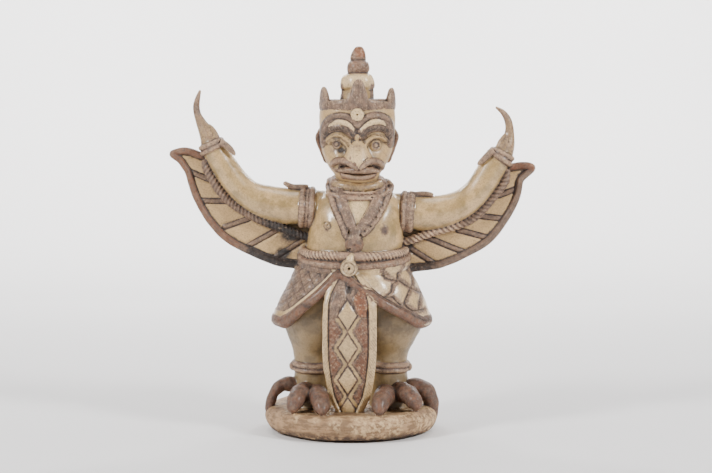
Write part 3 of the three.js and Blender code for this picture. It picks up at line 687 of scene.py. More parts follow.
# %% The lines of the face, in the picture plane
HEAD = [[186.5, 5, -8, 9, 11], [189.5, 5, -7, 15, 18], [194, 5, -6, 19, 23], [201.5, 4.8, -5, 23.6, 27],
        [208, 5, -4.5, 26.8, 28.5], [215, 5.2, -4, 29.2, 29.5], [225, 5.3, -3.5, 30.7, 30],
        [236, 5.4, -3, 31.6, 30.3], [246, 5.4, -3, 31.4, 30.2], [250, 5.4, -3, 29.5, 28],
        [256, 5.4, -3, 27, 26]]
MIDDLE = 5.3  # where the head's middle lies across the picture
FACE = {
    "arch": [[[5.6, 234.4], [2.7, 237.6], [-1.3, 240.9], [-6.3, 242.4], [-11.4, 242.4], [-15.9, 240.8],
              [-20.2, 237.3], [-22.4, 232.3], [-23.2, 226], [-23.8, 219]],
             [[5.6, 234.4], [9.8, 238.6], [14.8, 242.2], [20.9, 243.3], [26.9, 241.8], [30.8, 238.3],
              [32.6, 233], [33, 226], [32.8, 219]]],
    "lid": [[[1.6, 231.6], [-2.3, 235.4], [-7.4, 237.1], [-12.4, 236.8], [-16.9, 235.2], [-20.0, 231.8]],
            [[8.6, 229.6], [11.8, 233.8], [16.8, 237.3], [22.9, 238.3], [27.9, 236.8], [30.2, 232.8]]],
    "brow": [[[1.8, 226.2], [-2.3, 230.2], [-7.4, 232.2], [-12.4, 232.2], [-17.4, 230.6], [-21.0, 227.6]],
             [[9.0, 225.4], [12.8, 230.0], [18.8, 232.4], [24.9, 232.4], [29.4, 230.3], [31.2, 226.8]]],
    "fold": [[[1.0, 217.6], [-1.6, 221.2], [-5.6, 224.8], [-10.4, 226.5], [-15.9, 225.5], [-19.8, 222.2]],
             [[11.4, 217.4], [14.4, 222.4], [19.8, 225.3], [25.4, 224.7], [29.8, 221.0]]],
    "inner fold": [[[-1.6, 215.4], [-5.3, 220.3], [-10.4, 223.1], [-14.9, 222.9], [-18.0, 220.2]]],
    "mouth": [[[-6.8, 194.6], [0, 194.0], [6.7, 193.7], [13.6, 194.0], [19.2, 194.6]]],
    "lower lip": [[[-6.0, 192.4], [0.7, 191.6], [6.8, 191.3], [13, 191.6], [18.2, 192.6]]],
}
EYES = [[-11.9, 219.5, 3.2], [20.6, 218.5, 3.7]]  # middle and radius
HOLLOWS = [[-6.9, 200.8], [20.4, 200.0]]  # the dark hollows between the lips


def face_line(name, x, z):
    """Distance to the nearest of a feature's lines."""
    lines = [spline(points, 24) for points in FACE[name]]
    return np.min([distance_to(line, x, z) for line in lines], axis=0)


print("face lines:", ", ".join(FACE))

# %% Face height above the barrel
def brow_ruler(x, z):
    """A length that grows across the brows' slanting strokes, mirrored about the head's middle."""
    return np.abs(x - MIDDLE) * 0.75 - z * 0.65


def hatching(x, z):
    """A saw of strokes 2.4 mm apart on that ruler."""
    return np.abs((brow_ruler(x, z) / 2.4) % 1 - 0.5) * 2


EYE_SQUASH, PUPIL, SOCKET = 1.08, 0.62, 1.35  # how flat an eye is, and its two rings in its own radii


def eye_height(x, z, eye):
    """A low ball with a ring groove round a pupil, and a second groove round the whole."""
    away = np.hypot(x - eye[0], (z - eye[1]) * EYE_SQUASH)
    ring = eye[2]
    ball = 2.6 * roll(away, ring * 1.25) - 1.2 * ridge(np.abs(away - ring * PUPIL), 0.9)
    return ball - 0.5 * ridge(np.abs(away - ring * SOCKET), 1.0)


def face_height(x, z):
    """The sum of the coils along the face's lines and of the hills on cheeks, sockets and eyes."""
    height = np.maximum(2.0 * roll(face_line("arch", x, z), 2.7), 2.5 * roll(face_line("lid", x, z), 2.3))
    brow = roll(face_line("brow", x, z), 2.8)
    height = np.maximum(height, 2.4 * brow - 0.7 * (brow > 0.2) * ridge(hatching(x, z), 0.5))
    height = np.maximum(height, 2.9 * roll(face_line("fold", x, z), 1.8))
    height = np.maximum(height, 2.2 * roll(face_line("inner fold", x, z), 1.4))
    height = np.maximum(height, 1.6 * roll(face_line("lower lip", x, z), 1.7))
    height -= 1.4 * ridge(face_line("mouth", x, z), 1.1)
    for eye in EYES:
        height += eye_height(x, z, eye) - 2.0 * hill(x, z, eye[0], eye[1] + 0.3, 9.0, 6.0)
    height += 1.6 * hill(x, z, -14, 206, 9, 9) + 1.6 * hill(x, z, 25, 206, 9, 9)
    height -= 1.6 * hill(x, z, -6.9, 213.6, 4.0, 3.2)
    return height + 1.8 * hill(x, z, MIDDLE, 189.8, 12, 2.6)


head = barrel(HEAD, 460, 240)
x, y, z = np.moveaxis(head, -1, 0)
front = step_up(-(y + 3), 2, 14)
away = unit(np.stack([x - MIDDLE, (y + 3) * 1.1, 0 * x], -1))
head += away * (front * face_height(x, z - PLINTH_TOP))[..., None]
lay("head", head)
print("head:", head.shape[0] * head.shape[1], "points")

# %% Beak, lips and the marks between the brows
def on_face(points, lift):
    """Points of the picture plane moved out to the front of the head, plus a lift of their own."""
    points = np.asarray(points, float)
    front = depth_of_front(HEAD, points[:, 0], points[:, 1]) + lift + points[:, 2]
    return np.stack([points[:, 0], -front, points[:, 1]], -1)


def lip(rows, lift):
    """A rolled strip laid along a line of the face: rows of x, height, how far it stands out there,
    and its two radii."""
    rows = np.asarray(rows, float)
    limb("lips", np.hstack([on_face(rows[:, :3], lift), rows[:, 3:]]), 22, 0.5)


BEAK = [[199.2, 9.0, 0.7], [200.4, 10.6, 2.4], [202.4, 11.6, 4.2], [204.4, 11.6, 6.8], [206.2, 11.0, 9.6],
        [208.0, 10.2, 11.2], [210, 9.0, 11.2], [212.6, 7.8, 9.8], [215.6, 6.2, 8.2], [218.4, 4.6, 6.2],
        [220.6, 2.8, 4.2], [222, 0.6, 2.2]]  # height, lift of the ridge, half width
z, lift, half_width = spline(BEAK, 90).T[:, :, None]
angle = np.linspace(0, 2 * math.pi, 90, endpoint=False)[None, :]
x = MIDDLE + 0.4 + half_width * np.cos(angle)
ahead = np.clip(np.sin(angle), 0, 1)
rise = lift * (0.5 * ahead ** 0.4 + 0.5 * ahead ** 1.4) + 5 * np.clip(np.sin(angle), -1, 0)
lay("beak", np.stack([x, -(depth_of_front(HEAD, x, z + 0 * x) + rise), PLINTH_TOP + z + 0 * x], -1))
CURLED_LIPS = [  # the two halves of the upper lip, from the beak to their curled ends
    [[5.7, 199.8, 8.8, 1.5, 1.1], [2.2, 202.8, 8.4, 2.8, 2.2], [-2.3, 205.6, 5.4, 3.4, 2.7],
     [-7.4, 206.6, 2.6, 3.6, 2.8], [-12.4, 205.3, 0.8, 3.3, 2.6], [-15.4, 201.9, -0.4, 2.9, 2.4],
     [-13.4, 198.9, -0.8, 2.2, 1.9], [-10.2, 198.4, -0.4, 1.0, 0.9]],
    [[7.4, 199.8, 8.8, 1.5, 1.1], [10.4, 202.8, 8.4, 2.8, 2.2], [14.8, 205.6, 5.0, 3.4, 2.7],
     [19.8, 205.7, 2.4, 3.5, 2.7], [24.4, 203.6, 0.2, 3.2, 2.5], [26.0, 200.8, -0.8, 2.9, 2.4],
     [24.2, 198.2, -1.0, 2.2, 1.9], [21.2, 197.4, -0.4, 1.0, 0.9]],
]
LOWER_LIPS = [  # a strip over the mouth and one under it
    [[-10.6, 197.0, -0.4, 1.4, 1.2], [-5.3, 198.4, 1.8, 3.0, 2.6], [1.4, 198.6, 4.2, 3.5, 3.0],
     [6.7, 198.8, 5.4, 3.4, 3.0], [12.6, 198.6, 4.2, 3.5, 3.0], [18.4, 198.4, 1.8, 3.0, 2.6],
     [23.0, 196.8, -0.4, 1.4, 1.2]],
    [[-7.4, 194.4, -0.4, 1.4, 1.2], [-1, 193.0, 1.8, 2.6, 2.2], [6.5, 192.6, 3.4, 3.0, 2.6],
     [13.6, 193.0, 1.8, 2.6, 2.2], [19.8, 194.4, -0.4, 1.4, 1.2]],
]
for rows in CURLED_LIPS:
    lip(rows, 1.4)
for rows in LOWER_LIPS:
    lip(rows, 0.8)
jewel("forehead jewel", 5.4, 243.7, depth_of_front(HEAD, 5.4, 243.7) + 1.0, ring_with_boss(4.9, 2.0))
jewel("bead", 5.2, 224.8, depth_of_front(HEAD, 5.2, 224.8) + 0.4,
      [[0.1, -2], [1.9, -1], [2.3, 0.6], [1.6, 1.8], [0.1, 2.2]])
print("beak", round(2 * max(row[2] for row in BEAK)), "mm wide")

# %% Ears
EAR = [[28, 1, 232, 2, 3], [30.4, 0, 228, 2.6, 5], [30, -1, 219, 2.4, 5.2], [27.4, -2.5, 210, 2.2, 4],
       [25.0, -3.5, 203.6, 1.2, 1.8]]  # distance from the head's middle, y, height and two radii
EAR_RIM = [[27.6, -3.4, 230, 1.2, 1.2], [30.6, -4.2, 229.6, 1.6, 1.6], [32.9, -4.4, 225.4, 1.7, 1.7],
           [31.6, -4.6, 218.6, 1.6, 1.6], [28.2, -5.2, 211, 1.6, 1.6], [26.4, -5.4, 206.4, 2.2, 2.2],
           [24.6, -5.4, 204.2, 1.8, 1.8]]


def beside(side, rows):
    """Rows beside the head, on its right or its left."""
    return [[MIDDLE + side * out, y, z, high, wide] for out, y, z, high, wide in rows]


for side in (-1, 1):
    limb("ear", beside(side, EAR), 30, 0.8, (side, -0.35, 0))
    limb("ear rim", beside(side, EAR_RIM), 16, 0.6)
print("ears laid:", sum(name == "ear" for name, _, _ in clay))

# %% [markdown]
# ## Crown and topknot
#
# The crown is a wall of clay set on the brow. Its rim rises in a horn at each side and in a plain
# leaf behind, and a broader leaf is pressed on in front. The wall's rim is higher at one side. The
# topknot in the middle is thrown: a drum, a dome, a bulb and a cone that leans.

# %% Crown
CROWN_FOOT, CROWN_RIM, RIM_TILT = 247.2, 254.6, 0.6
CROWN_MIDDLE, CROWN_RADII = (5.4, -3), (31.9, 31.4)  # across and front to back
CROWN_LEAVES = ((68, 14, 11.8), (-69, 15, 12.0), (180, 24, 8.0))  # degrees round, half width, height


def leaf_rise(angle):
    """Height of the crown's leaves above the rim: each is a power of one less the squared share of
    the way from its middle to its edge, and the highest counts. In front the rim swells slowly."""
    turn = np.degrees(angle) + 90
    rises = [high * np.maximum(0, 1 - (np.abs((turn - middle + 540) % 360 - 180) / half) ** 2) ** 0.7
             for middle, half, high in CROWN_LEAVES]
    return np.max(rises, axis=0) + 3.4 * ridge(np.abs((turn + 180) % 360 - 180), 42)


def crown_ring(angle, height, inwards):
    """A ring of the crown's wall, a distance inside its outer face."""
    x = CROWN_MIDDLE[0] + (CROWN_RADII[0] - inwards) * np.cos(angle)
    y = CROWN_MIDDLE[1] + (CROWN_RADII[1] - inwards) * np.sin(angle)
    return np.stack([x, y, PLINTH_TOP + height], -1)


def leaf_veins(angle, run):
    """The front leaf's section: full corners, less shallow grooves down its face."""
    return (1 + 0.16 * np.abs(np.sin(2 * angle))
            - 0.1 * ridge(np.abs((np.sin(angle) * 2.5 + 0.5) % 1 - 0.5), 0.3))


angle = np.linspace(0, 2 * math.pi, 480, endpoint=False)
rim = CROWN_RIM + leaf_rise(angle) - RIM_TILT * np.cos(angle) + 0.4 * np.sin(5 * angle)
rings = [crown_ring(angle, 0 * angle + CROWN_FOOT, 6.0 + 0 * angle)]
for share in np.linspace(0, 1, 34):
    rounding = 1.2 * (2 * share - 1) ** 8 - 0.35 * ridge(np.abs(share - 0.62), 0.05)
    rings.append(crown_ring(angle, CROWN_FOOT + share * (rim - CROWN_FOOT), rounding + 0 * angle))
for share in np.linspace(1, 0, 24):
    height = CROWN_FOOT + 2 + share * (rim - CROWN_FOOT - 2.4)
    rings.append(crown_ring(angle, height, 4.2 - 0.8 * share ** 6 + 0 * angle))
lay("crown", np.array(rings).swapaxes(0, 1), closed=True)
leaf = [[6, -31.2, 249, 3.0, 9.2], [6, -32.4, 254, 3.0, 8.6], [6, -32.8, 258, 2.9, 7.4],
        [6.1, -32.4, 264, 2.7, 5.6], [6.2, -31.6, 268, 2.4, 4.3], [6.4, -31.2, 270.6, 2.0, 3.0],
        [6.4, -31, 272.2, 0.9, 1.2]]
limb("crown leaf", leaf, 60, 0.6, swell=leaf_veins)
print("crown: rim between", round(float(rim.min()), 1), "and", round(float(rim.max()), 1))

# %% Topknot
KNOT = [[0.2, 246], [13.8, 246], [14.2, 252], [14.2, 259], [13.6, 262], [14.2, 265], [14.5, 268],
        [13.8, 272.5], [11.8, 276.0], [8.6, 277.4], [9.3, 279.6], [9.5, 282.4], [8.6, 286],
        [6.4, 288.0], [6.8, 289.6], [6.4, 292.6], [5.0, 296.6], [2.8, 299.7], [0.2, 300.3]]
KNOT_MIDDLE = 4.9  # where the drum's middle lies across the picture
profile = evenly(KNOT, 0.6)
angle = np.linspace(0, 2 * math.pi, 150, endpoint=False)[None, :]
radius, height = profile.T[:, :, None]
lean = KNOT_MIDDLE + 1.5 * step_up(height, 272, 282) + 0.7 * step_up(height, 290, 300)
lobes = 1 + 0.03 * np.cos(7 * angle) * step_up(height, 256, 264) * step_up(-height, -277, -271)
lobes -= 0.05 * ridge(np.abs(height - 264.5 - 0.8 * np.sin(3 * angle)), 1.6)
lay("topknot", np.stack([lean + radius * lobes * np.cos(angle), radius * lobes * np.sin(angle),
                         PLINTH_TOP + height + 0 * angle], -1))
print("topknot:", round(float(profile[:, 1].max() - 246)), "mm tall")

# %% [markdown]
# ## Arms, hands and bands
#
# Each arm is a roll of clay that bends up at the elbow and runs out into one long curled finger,
# with a small thumb. Rings round the arm are strips laid square to it, so each is built on the
# arm's own curve at its place.

# %% The arms' curves
ARMS = {
    -1: [[-14, 164], [-40, 166], [-55, 167], [-72, 171], [-85, 177], [-95, 186], [-103, 196],
         [-110, 207], [-115.5, 217], [-119, 225], [-124, 235], [-127.6, 243], [-128.5, 250],
         [-127.6, 257.6], [-125.9, 264.6]],
    1: [[24, 163.5], [46, 162], [62, 161], [78, 163], [92.6, 169], [104.4, 178.6], [113, 190.4],
        [119.3, 201], [124.7, 208.5], [129, 217], [131.3, 225], [131.7, 233], [130.2, 239.5],
        [126.5, 245], [120.3, 249.6]],
}
ARM_SIZES = {
    -1: [[15.5, 15], [15.6, 15.2], [15, 14.8], [14.5, 13.9], [13.4, 12.1], [12.2, 11.2], [11.2, 10.9],
         [10.3, 10.2], [9.3, 9.2], [7.6, 7.0], [4.7, 4.5], [3.3, 3.1], [2.8, 2.7], [2.2, 2.2],
         [0.9, 1.0]],
    1: [[15.5, 15], [15.4, 14.8], [14.8, 14.4], [14.3, 13.6], [13.4, 12.2], [12.4, 11.4], [11.4, 11.2],
        [10.6, 10.8], [9.4, 9.6], [7.6, 7.2], [4.7, 4.7], [3.6, 3.6], [2.9, 3.0], [2.2, 2.3],
        [0.9, 1.0]],
}


def arm_rows(side):
    """Rows of x, y, height and two radii down an arm and its finger."""
    return [[x, 0, z, high, wide] for (x, z), (high, wide) in zip(ARMS[side], ARM_SIZES[side])]


print("arms:", len(ARMS[-1]), "rows each, the last", ARMS[-1][-1][1], "and", ARMS[1][-1][1], "mm up")

# %% Arms with their bands
FINE = 40  # points of the fine curve from one row of an arm to the next
FIRST_ARMLET = {-1: 0.70, 1: 0.88}  # the place of the armlet next to the shoulder, counted in rows
ABOVE_ARM = 0.4  # how far a strip's middle lies above the arm's skin


def arm_ring(side, place, name, thick, broad, swell=None):
    """A strip round the arm at a place counted in its rows, square to its curve."""
    fine = spline(arm_rows(side), (len(ARMS[side]) - 1) * FINE + 1)
    k = int(round(place * FINE))
    centre, tangent = fine[k, :3] + (0, 0, PLINTH_TOP), unit(fine[k + 1, :3] - fine[k - 1, :3])
    up = np.cross(tangent, (0, -1, 0))
    angle = np.linspace(0, 2 * math.pi, 150, endpoint=False)[:, None]
    ahead = np.cos(angle) * np.array([0, -1, 0]) * (fine[k, 3] + ABOVE_ARM)
    radial = ahead + np.sin(angle) * up * (fine[k, 4] + ABOVE_ARM)
    lay(name, tube(centre + radial, thick, broad, 20, radial, closed=True, swell=swell), closed=True)


for side in (-1, 1):
    limb("arm", arm_rows(side), 96, 0.9)
    first = FIRST_ARMLET[side]
    arm_ring(side, first, "armlet", 2.3, 2.6, beads(9.0, 0.05))
    arm_ring(side, first + 0.16, "armlet", 1.6, 1.2)
    arm_ring(side, first + 0.33, "armlet", 2.4, 2.8, beads(3.1, 0.08))
    for place in (7.85, 8.27):
        arm_ring(side, place, "wristband", 1.9, 2.2, beads(5.0, 0.05))
print("arms with", sum(name in ("armlet", "wristband") for name, _, _ in clay), "bands")

# %% Leaves and thumbs
LEAVES = [
    [[-36, -4, 182, 2.4, 3.2], [-41.6, -5, 183.2, 2.2, 2.4], [-47.7, -5, 183.2, 2.0, 2.2],
     [-52, -5, 184.4, 2.0, 2.2], [-55.4, -5, 186.4, 1.6, 1.8], [-56.2, -5, 187, 0.8, 0.8]],
    [[49, -4, 176.4, 2.4, 3.2], [54, -5, 176.6, 2.0, 2.2], [58, -5, 177.4, 1.9, 2.0],
     [63, -5, 177.4, 1.9, 2.0], [67.4, -5, 176.4, 1.8, 2.0], [68.6, -5, 176, 1.2, 1.2]],
    [[-108.5, -8, 220.4, 2.6, 3.4], [-105.2, -9, 219.3, 2.4, 3.0], [-101, -9.4, 216.2, 2.2, 2.8],
     [-97.6, -9, 212.2, 1.9, 2.2], [-95.8, -8.5, 209.6, 1.0, 1.0]],
    [[118, -8, 213.4, 2.6, 3.2], [115, -9, 211.6, 2.4, 2.8], [111.6, -9.4, 208, 2.2, 2.6],
     [108, -9, 203.8, 1.9, 2.2], [106.2, -8.5, 201.4, 1.0, 1.2]],
]
THUMBS = [
    [[-113.5, -3, 218, 4.2, 4.2], [-112.8, -3, 224, 3.4, 3.4], [-115, -2.6, 230, 2.4, 2.4],
     [-118.4, -2, 235, 1, 1]],
    [[124, -3, 211, 4.2, 4.2], [123.8, -3, 217, 3.4, 3.4], [125.4, -2.6, 223, 2.4, 2.4],
     [128, -2, 228, 1, 1]],
]


def leaf_groove(angle, run):
    """A leaf's section, with a groove down its middle."""
    return 1 - 0.12 * ridge(np.abs(np.sin(angle)), 0.2)


for rows in LEAVES:
    limb("leaf", rows, 28, 0.5, swell=leaf_groove)
for rows in THUMBS:
    limb("arm", rows, 24, 0.6)
print("leaves on the arms:", len(LEAVES), "and thumbs:", len(THUMBS))

# %% [markdown]
# ## Wings
#
# Below each arm hangs a panel of feathers. It is a slab with a rolled rim, crossed by quills that
# were scored on both sides, with a rope along the arm. Two curves bound it: the rope's line and the
# rim's. A place along both and a distance between them is the grid, and the slab's thickness at
# each point is a formula of that distance.

# %% The wings' lines
WING_LINES = {
    -1: ([[-122, 206], [-120.5, 199.5], [-116.8, 191.8], [-111.5, 183], [-104.2, 173.8], [-96.5, 167.2],
          [-87.5, 161.2], [-77, 156.1], [-65.5, 151.6], [-54, 147.2], [-43, 142.9], [-30, 139]],
         [[-147.5, 209.5], [-141, 203.5], [-136, 194.5], [-133, 184], [-128.3, 172], [-119, 155.5],
          [-107, 142], [-95, 134], [-82, 127], [-70, 122], [-56, 118], [-32, 115.5]]),
    1: ([[130.4, 197.5], [128.8, 189], [123.6, 180.6], [115.6, 170.4], [106.6, 161], [99.4, 155.8],
         [91.2, 151.8], [79, 148], [66, 144.4], [56, 141], [46.6, 137.6], [36, 135]],
        [[150.6, 199], [145.6, 193.4], [141, 187], [139.4, 176.5], [134.6, 164], [127.2, 152.4],
         [117, 140.6], [105, 131.2], [92, 124], [81, 119.6], [68, 116.2], [38, 113.4]]),
}
RIMS = {
    -1: [[-121, 208.6], [-126.6, 209.8], [-133, 212.4], [-139.4, 213.2], [-145, 212.2], [-149.3, 210.4],
         [-147.6, 208.4], [-143, 205.2], [-139.4, 200]] + WING_LINES[-1][1][2:],
    1: [[131, 199.2], [135, 199.9], [141, 200.6], [147.4, 200.4], [151, 199.0], [149.6, 196.6],
        [145.6, 193.4], [141.4, 188.6]] + WING_LINES[1][1][3:],
}
QUILLS = {
    -1: [[[-117, 188.6], [-132.6, 195]], [[-104, 171], [-126, 171.6]], [[-86, 156.0], [-105.4, 149.2]],
         [[-63, 146.8], [-87, 132.6]], [[-38, 139.2], [-66.6, 121.4]]],
    1: [[[124, 175.9], [138, 181.4]], [[108, 158.6], [129, 156.1]], [[90, 146.6], [117.6, 139.8]],
        [[62, 141.2], [97, 127.0]], [[45, 133.8], [71, 117.8]]],
}
WING_Y, ROOT = 4.0, 18.0  # where the slab's middle lies, and how far it runs on inside the arm
SPANS = 11  # pieces between the rows of a wing's two lines


def to_quill(side, x, z):
    """Distance to the nearest of a wing's quills."""
    return np.min([distance_to(line, x, z) for line in QUILLS[side]], axis=0)


def to_rim(side, x, z):
    """Distance to the middle of the roll round a wing's edge."""
    return distance_to(spline(RIMS[side], 90), x, z)


def wing_half(side, x, z):
    """Half the slab's thickness: the web, puffed between the quills, a flat band at each quill
    with a cut along both its sides, and a cut inside the rim."""
    quill, edge = to_quill(side, x, z), to_rim(side, x, z)
    on_web = step_up(edge, 2.6, 4.4)
    half = 2.2 + 0.6 * np.clip(quill / 5, 0, 1) * np.clip(edge / 8, 0, 1)
    half += on_web * (0.8 * step_up(-quill, -1.9, -1.2) - 1.2 * ridge(np.abs(quill - 2.2), 1.1))
    return half - 1.1 * ridge(np.abs(edge - 3.7), 1.1)


print("quills on each wing:", len(QUILLS[-1]), "and", len(QUILLS[1]))

# %% Wings
def wing_face(side, places, shares, face):
    """Points of the slab's front (face -1) or back (face 1), from a little way up inside the arm
    to the middle of the rim."""
    where = np.linspace(0, SPANS, 60 * SPANS + 1)
    curves = (spline(line, len(where)).T for line in WING_LINES[side])
    start, end = (np.stack([np.interp(places, where, column) for column in curve], -1)[:, None]
                  for curve in curves)
    length = np.linalg.norm(end - start, axis=-1)
    distance = shares[None, :] * (length + ROOT) - ROOT
    point = start + (end - start) / length[..., None] * distance[..., None]
    share = np.clip(distance / length, 0, 1)
    arched = 20 * np.clip(1 - places, 0, 1)[:, None] * share * (1 - share)  # the top edge at the hand
    x, z = point[..., 0], point[..., 1] + arched
    return np.stack([x, WING_Y + face * wing_half(side, x, z), z + PLINTH_TOP], -1)


def rim_section(angle, run):
    """The rim's section, with full corners."""
    return 1 + 0.12 * np.abs(np.sin(2 * angle))


TWIST = {-1: 3.4, 1: 4.0}  # pitch of each rope in millimetres
places, shares = np.linspace(0, SPANS, 360), np.linspace(0, 1, 96)
for side in (-1, 1):
    front, back = wing_face(side, places, shares, -1), wing_face(side, places, shares[::-1], 1)
    lay("wing", np.concatenate([front, back], 1)[:, ::side])
    limb("wing rim", [[x, WING_Y, z, 4.1, 2.9] for x, z in RIMS[side]], 30, 0.6, swell=rim_section)
    rope = np.array([[x, -2.0, z, 4.4, 4.0] for x, z in WING_LINES[side][0]])
    rope[0, 3:] = 2.4
    limb("rope", rope, 36, 0.5, swell=twisted(TWIST[side], 0.32))
print("wings:", 4 * len(places) * len(shares), "points; parts laid in all:", len(clay))

# %% [markdown]
# ## One skin
#
# Glaze and wet clay round off every joint. To get that, all the strips and lumps are put in one
# mesh, and Blender's voxel remesher fuses them into a single closed skin. A light smoothing softens
# it like glaze, and a slow seeded wobble takes away what is too exact. Holes are then pushed in as
# with a stick, and flat stretches are thinned to fewer triangles. Each point of the new skin takes
# the number of the strip nearest to it, so the paint later knows what it lies on.

# %% Put every strip in one mesh
def mesh_object(name, points, faces):
    """A mesh object from arrays of points in millimetres and of triangles."""
    mesh = bpy.data.meshes.new(name)
    mesh.vertices.add(len(points))
    mesh.vertices.foreach_set("co", (points * MM).astype(np.float32).ravel())
    mesh.loops.add(faces.size)
    mesh.loops.foreach_set("vertex_index", faces.astype(np.int32).ravel())
    mesh.polygons.add(len(faces))
    mesh.polygons.foreach_set("loop_start", np.arange(0, faces.size, 3, dtype=np.int32))
    mesh.update(calc_edges=True)
    return bpy.data.objects.new(name, mesh)


def keep_numbers(mesh, name, values):
    """One number for each point, kept on the mesh under a name."""
    mesh.attributes.new(name, "FLOAT", "POINT").data.foreach_set("value", values.astype(np.float32))


first = np.cumsum([0] + [len(points) for _, points, _ in clay])
loose = mesh_object("loose_clay", np.vstack([points for _, points, _ in clay]),
                    np.vstack([faces + start for (_, _, faces), start in zip(clay, first)]))
numbers = np.concatenate([np.full(len(points), part_names.index(name)) for name, points, _ in clay])
keep_numbers(loose.data, "part", numbers)
bpy.context.collection.objects.link(loose)
print("loose clay:", len(numbers), "points in", len(clay), "strips of", len(part_names), "kinds")

# %% Fuse and soften
def applied(thing):
    """The mesh that an object's modifiers give."""
    graph = bpy.context.evaluated_depsgraph_get()
    return bpy.data.meshes.new_from_object(thing.evaluated_get(graph))


def points_of(mesh):
    """A mesh's points in millimetres."""
    flat = np.empty(len(mesh.vertices) * 3, np.float32)
    mesh.vertices.foreach_get("co", flat)
    return flat.reshape(-1, 3).astype(float) / MM


fused = loose.copy()
bpy.context.collection.objects.link(fused)
remesh = fused.modifiers.new("one skin", "REMESH")
remesh.mode, remesh.voxel_size, remesh.use_smooth_shade = "VOXEL", GRAIN * MM, True
skin = applied(fused)
bpy.data.objects.remove(fused)
print("skin:", len(skin.vertices), "points")

# %% Smooth, wobble, and measure hollows
def edges_of(mesh):
    """The two ends of each edge."""
    flat = np.empty(len(mesh.edges) * 2, np.int32)
    mesh.edges.foreach_get("vertices", flat)
    return flat.reshape(-1, 2)


def smoothed(values, edges, rounds, strength=0.6):
    """Each point's values moved towards the mean of its neighbours, again and again."""
    count = len(values)
    neighbours = np.bincount(edges.ravel(), minlength=count)[:, None]
    one, other = edges.T
    for _ in range(rounds):
        total = np.stack([np.bincount(one, column[other], count) + np.bincount(other, column[one], count)
                          for column in values.T], -1)
        values = values + strength * (total / neighbours - values)
    return values


def wobble(points, wavelength, size, seed):
    """A sum of twelve slow waves in random directions, the same for every run."""
    random = np.random.default_rng(seed)
    directions = unit(random.normal(size=(12, 3)))
    phases = random.uniform(0, 2 * math.pi, (12, 3))
    pushes = random.normal(size=(12, 3)) * size / 3.5
    waves = points @ directions.T * 2 * math.pi / wavelength
    return sum(np.sin(waves[:, k:k + 1] + phases[k]) * pushes[k] for k in range(12))


def normals_of(mesh):
    """The direction outwards at each point."""
    flat = np.empty(len(mesh.vertices) * 3, np.float32)
    mesh.vertices.foreach_get("normal", flat)
    return flat.reshape(-1, 3).astype(float)


points, edges = points_of(skin), edges_of(skin)
points = smoothed(points, edges, 2 if GRAIN < 1 else 1, 0.5)
points += wobble(points, 42, 0.35, 4) + wobble(points, 13, 0.12, 5)
ahead = points[:, 1] < 0
for x0, z0, wide, high, deep in PITS:
    away = np.hypot((points[:, 0] - x0) / wide, (points[:, 2] - PLINTH_TOP - z0) / high)
    points[:, 1] += ahead * deep * ridge(away, 1.0)
points[:, 2] = np.maximum(points[:, 2], 0.02)  # nothing hangs below the floor
skin.vertices.foreach_set("co", (points * MM).astype(np.float32).ravel())
skin.update()
outwards = normals_of(skin)
level = points
hollows = {}  # how far the skin, smoothed over a reach in millimetres, would rise from where it is
for name, reach in (("hollow", 1.2), ("broad_hollow", 4.5)):
    rounds = int((reach / GRAIN) ** 2 * 1.2) + 1
    level = smoothed(level, edges, rounds)
    hollows[name] = ((level - points) * outwards).sum(-1)
    print(name, "from", hollows[name].min().round(2), "to", hollows[name].max().round(2), "mm")
for name, values in hollows.items():
    keep_numbers(skin, name, values)

# %% The finished piece
def carry(source, target, names):
    """Copies numbers from one mesh to another: each point reads the nearest place on the source."""
    nodes = bpy.data.node_groups.new("carry numbers", "GeometryNodeTree")
    nodes.interface.new_socket("Geometry", in_out="INPUT", socket_type="NodeSocketGeometry")
    nodes.interface.new_socket("Geometry", in_out="OUTPUT", socket_type="NodeSocketGeometry")
    inside = nodes.nodes.new("NodeGroupInput").outputs[0]
    info = nodes.nodes.new("GeometryNodeObjectInfo")
    info.inputs["Object"].default_value = source
    for name in names:
        read = nodes.nodes.new("GeometryNodeInputNamedAttribute")
        read.inputs["Name"].default_value = name
        near = nodes.nodes.new("GeometryNodeSampleNearestSurface")
        store = nodes.nodes.new("GeometryNodeStoreNamedAttribute")
        store.inputs["Name"].default_value = name
        nodes.links.new(info.outputs["Geometry"], near.inputs["Mesh"])
        nodes.links.new(read.outputs[0], near.inputs["Value"])
        nodes.links.new(near.outputs["Value"], store.inputs["Value"])
        nodes.links.new(inside, store.inputs["Geometry"])
        inside = store.outputs[0]
    nodes.links.new(inside, nodes.nodes.new("NodeGroupOutput").inputs[0])
    target.modifiers.new("carry", "NODES").node_group = nodes
    mesh = applied(target)
    target.modifiers.clear()
    bpy.data.node_groups.remove(nodes)
    return mesh


MOST_TRIANGLES = 196000
dense = bpy.data.objects.new("dense", skin)
bpy.context.collection.objects.link(dense)
skin.calc_loop_triangles()
thin = dense.modifiers.new("fewer triangles", "DECIMATE")
thin.ratio = min(1.0, MOST_TRIANGLES / len(skin.loop_triangles))
figure = bpy.data.objects.new("garuda", applied(dense))
bpy.context.collection.objects.link(figure)
figure.data = carry(loose, figure, ["part"])
figure.data.name = "garuda"
print("faces that had to be mended:", figure.data.validate())
figure.data.shade_smooth()
for spare in (loose, dense):
    bpy.data.objects.remove(spare)
figure.data.calc_loop_triangles()
print("garuda:", len(figure.data.loop_triangles), "triangles of", len(skin.loop_triangles))
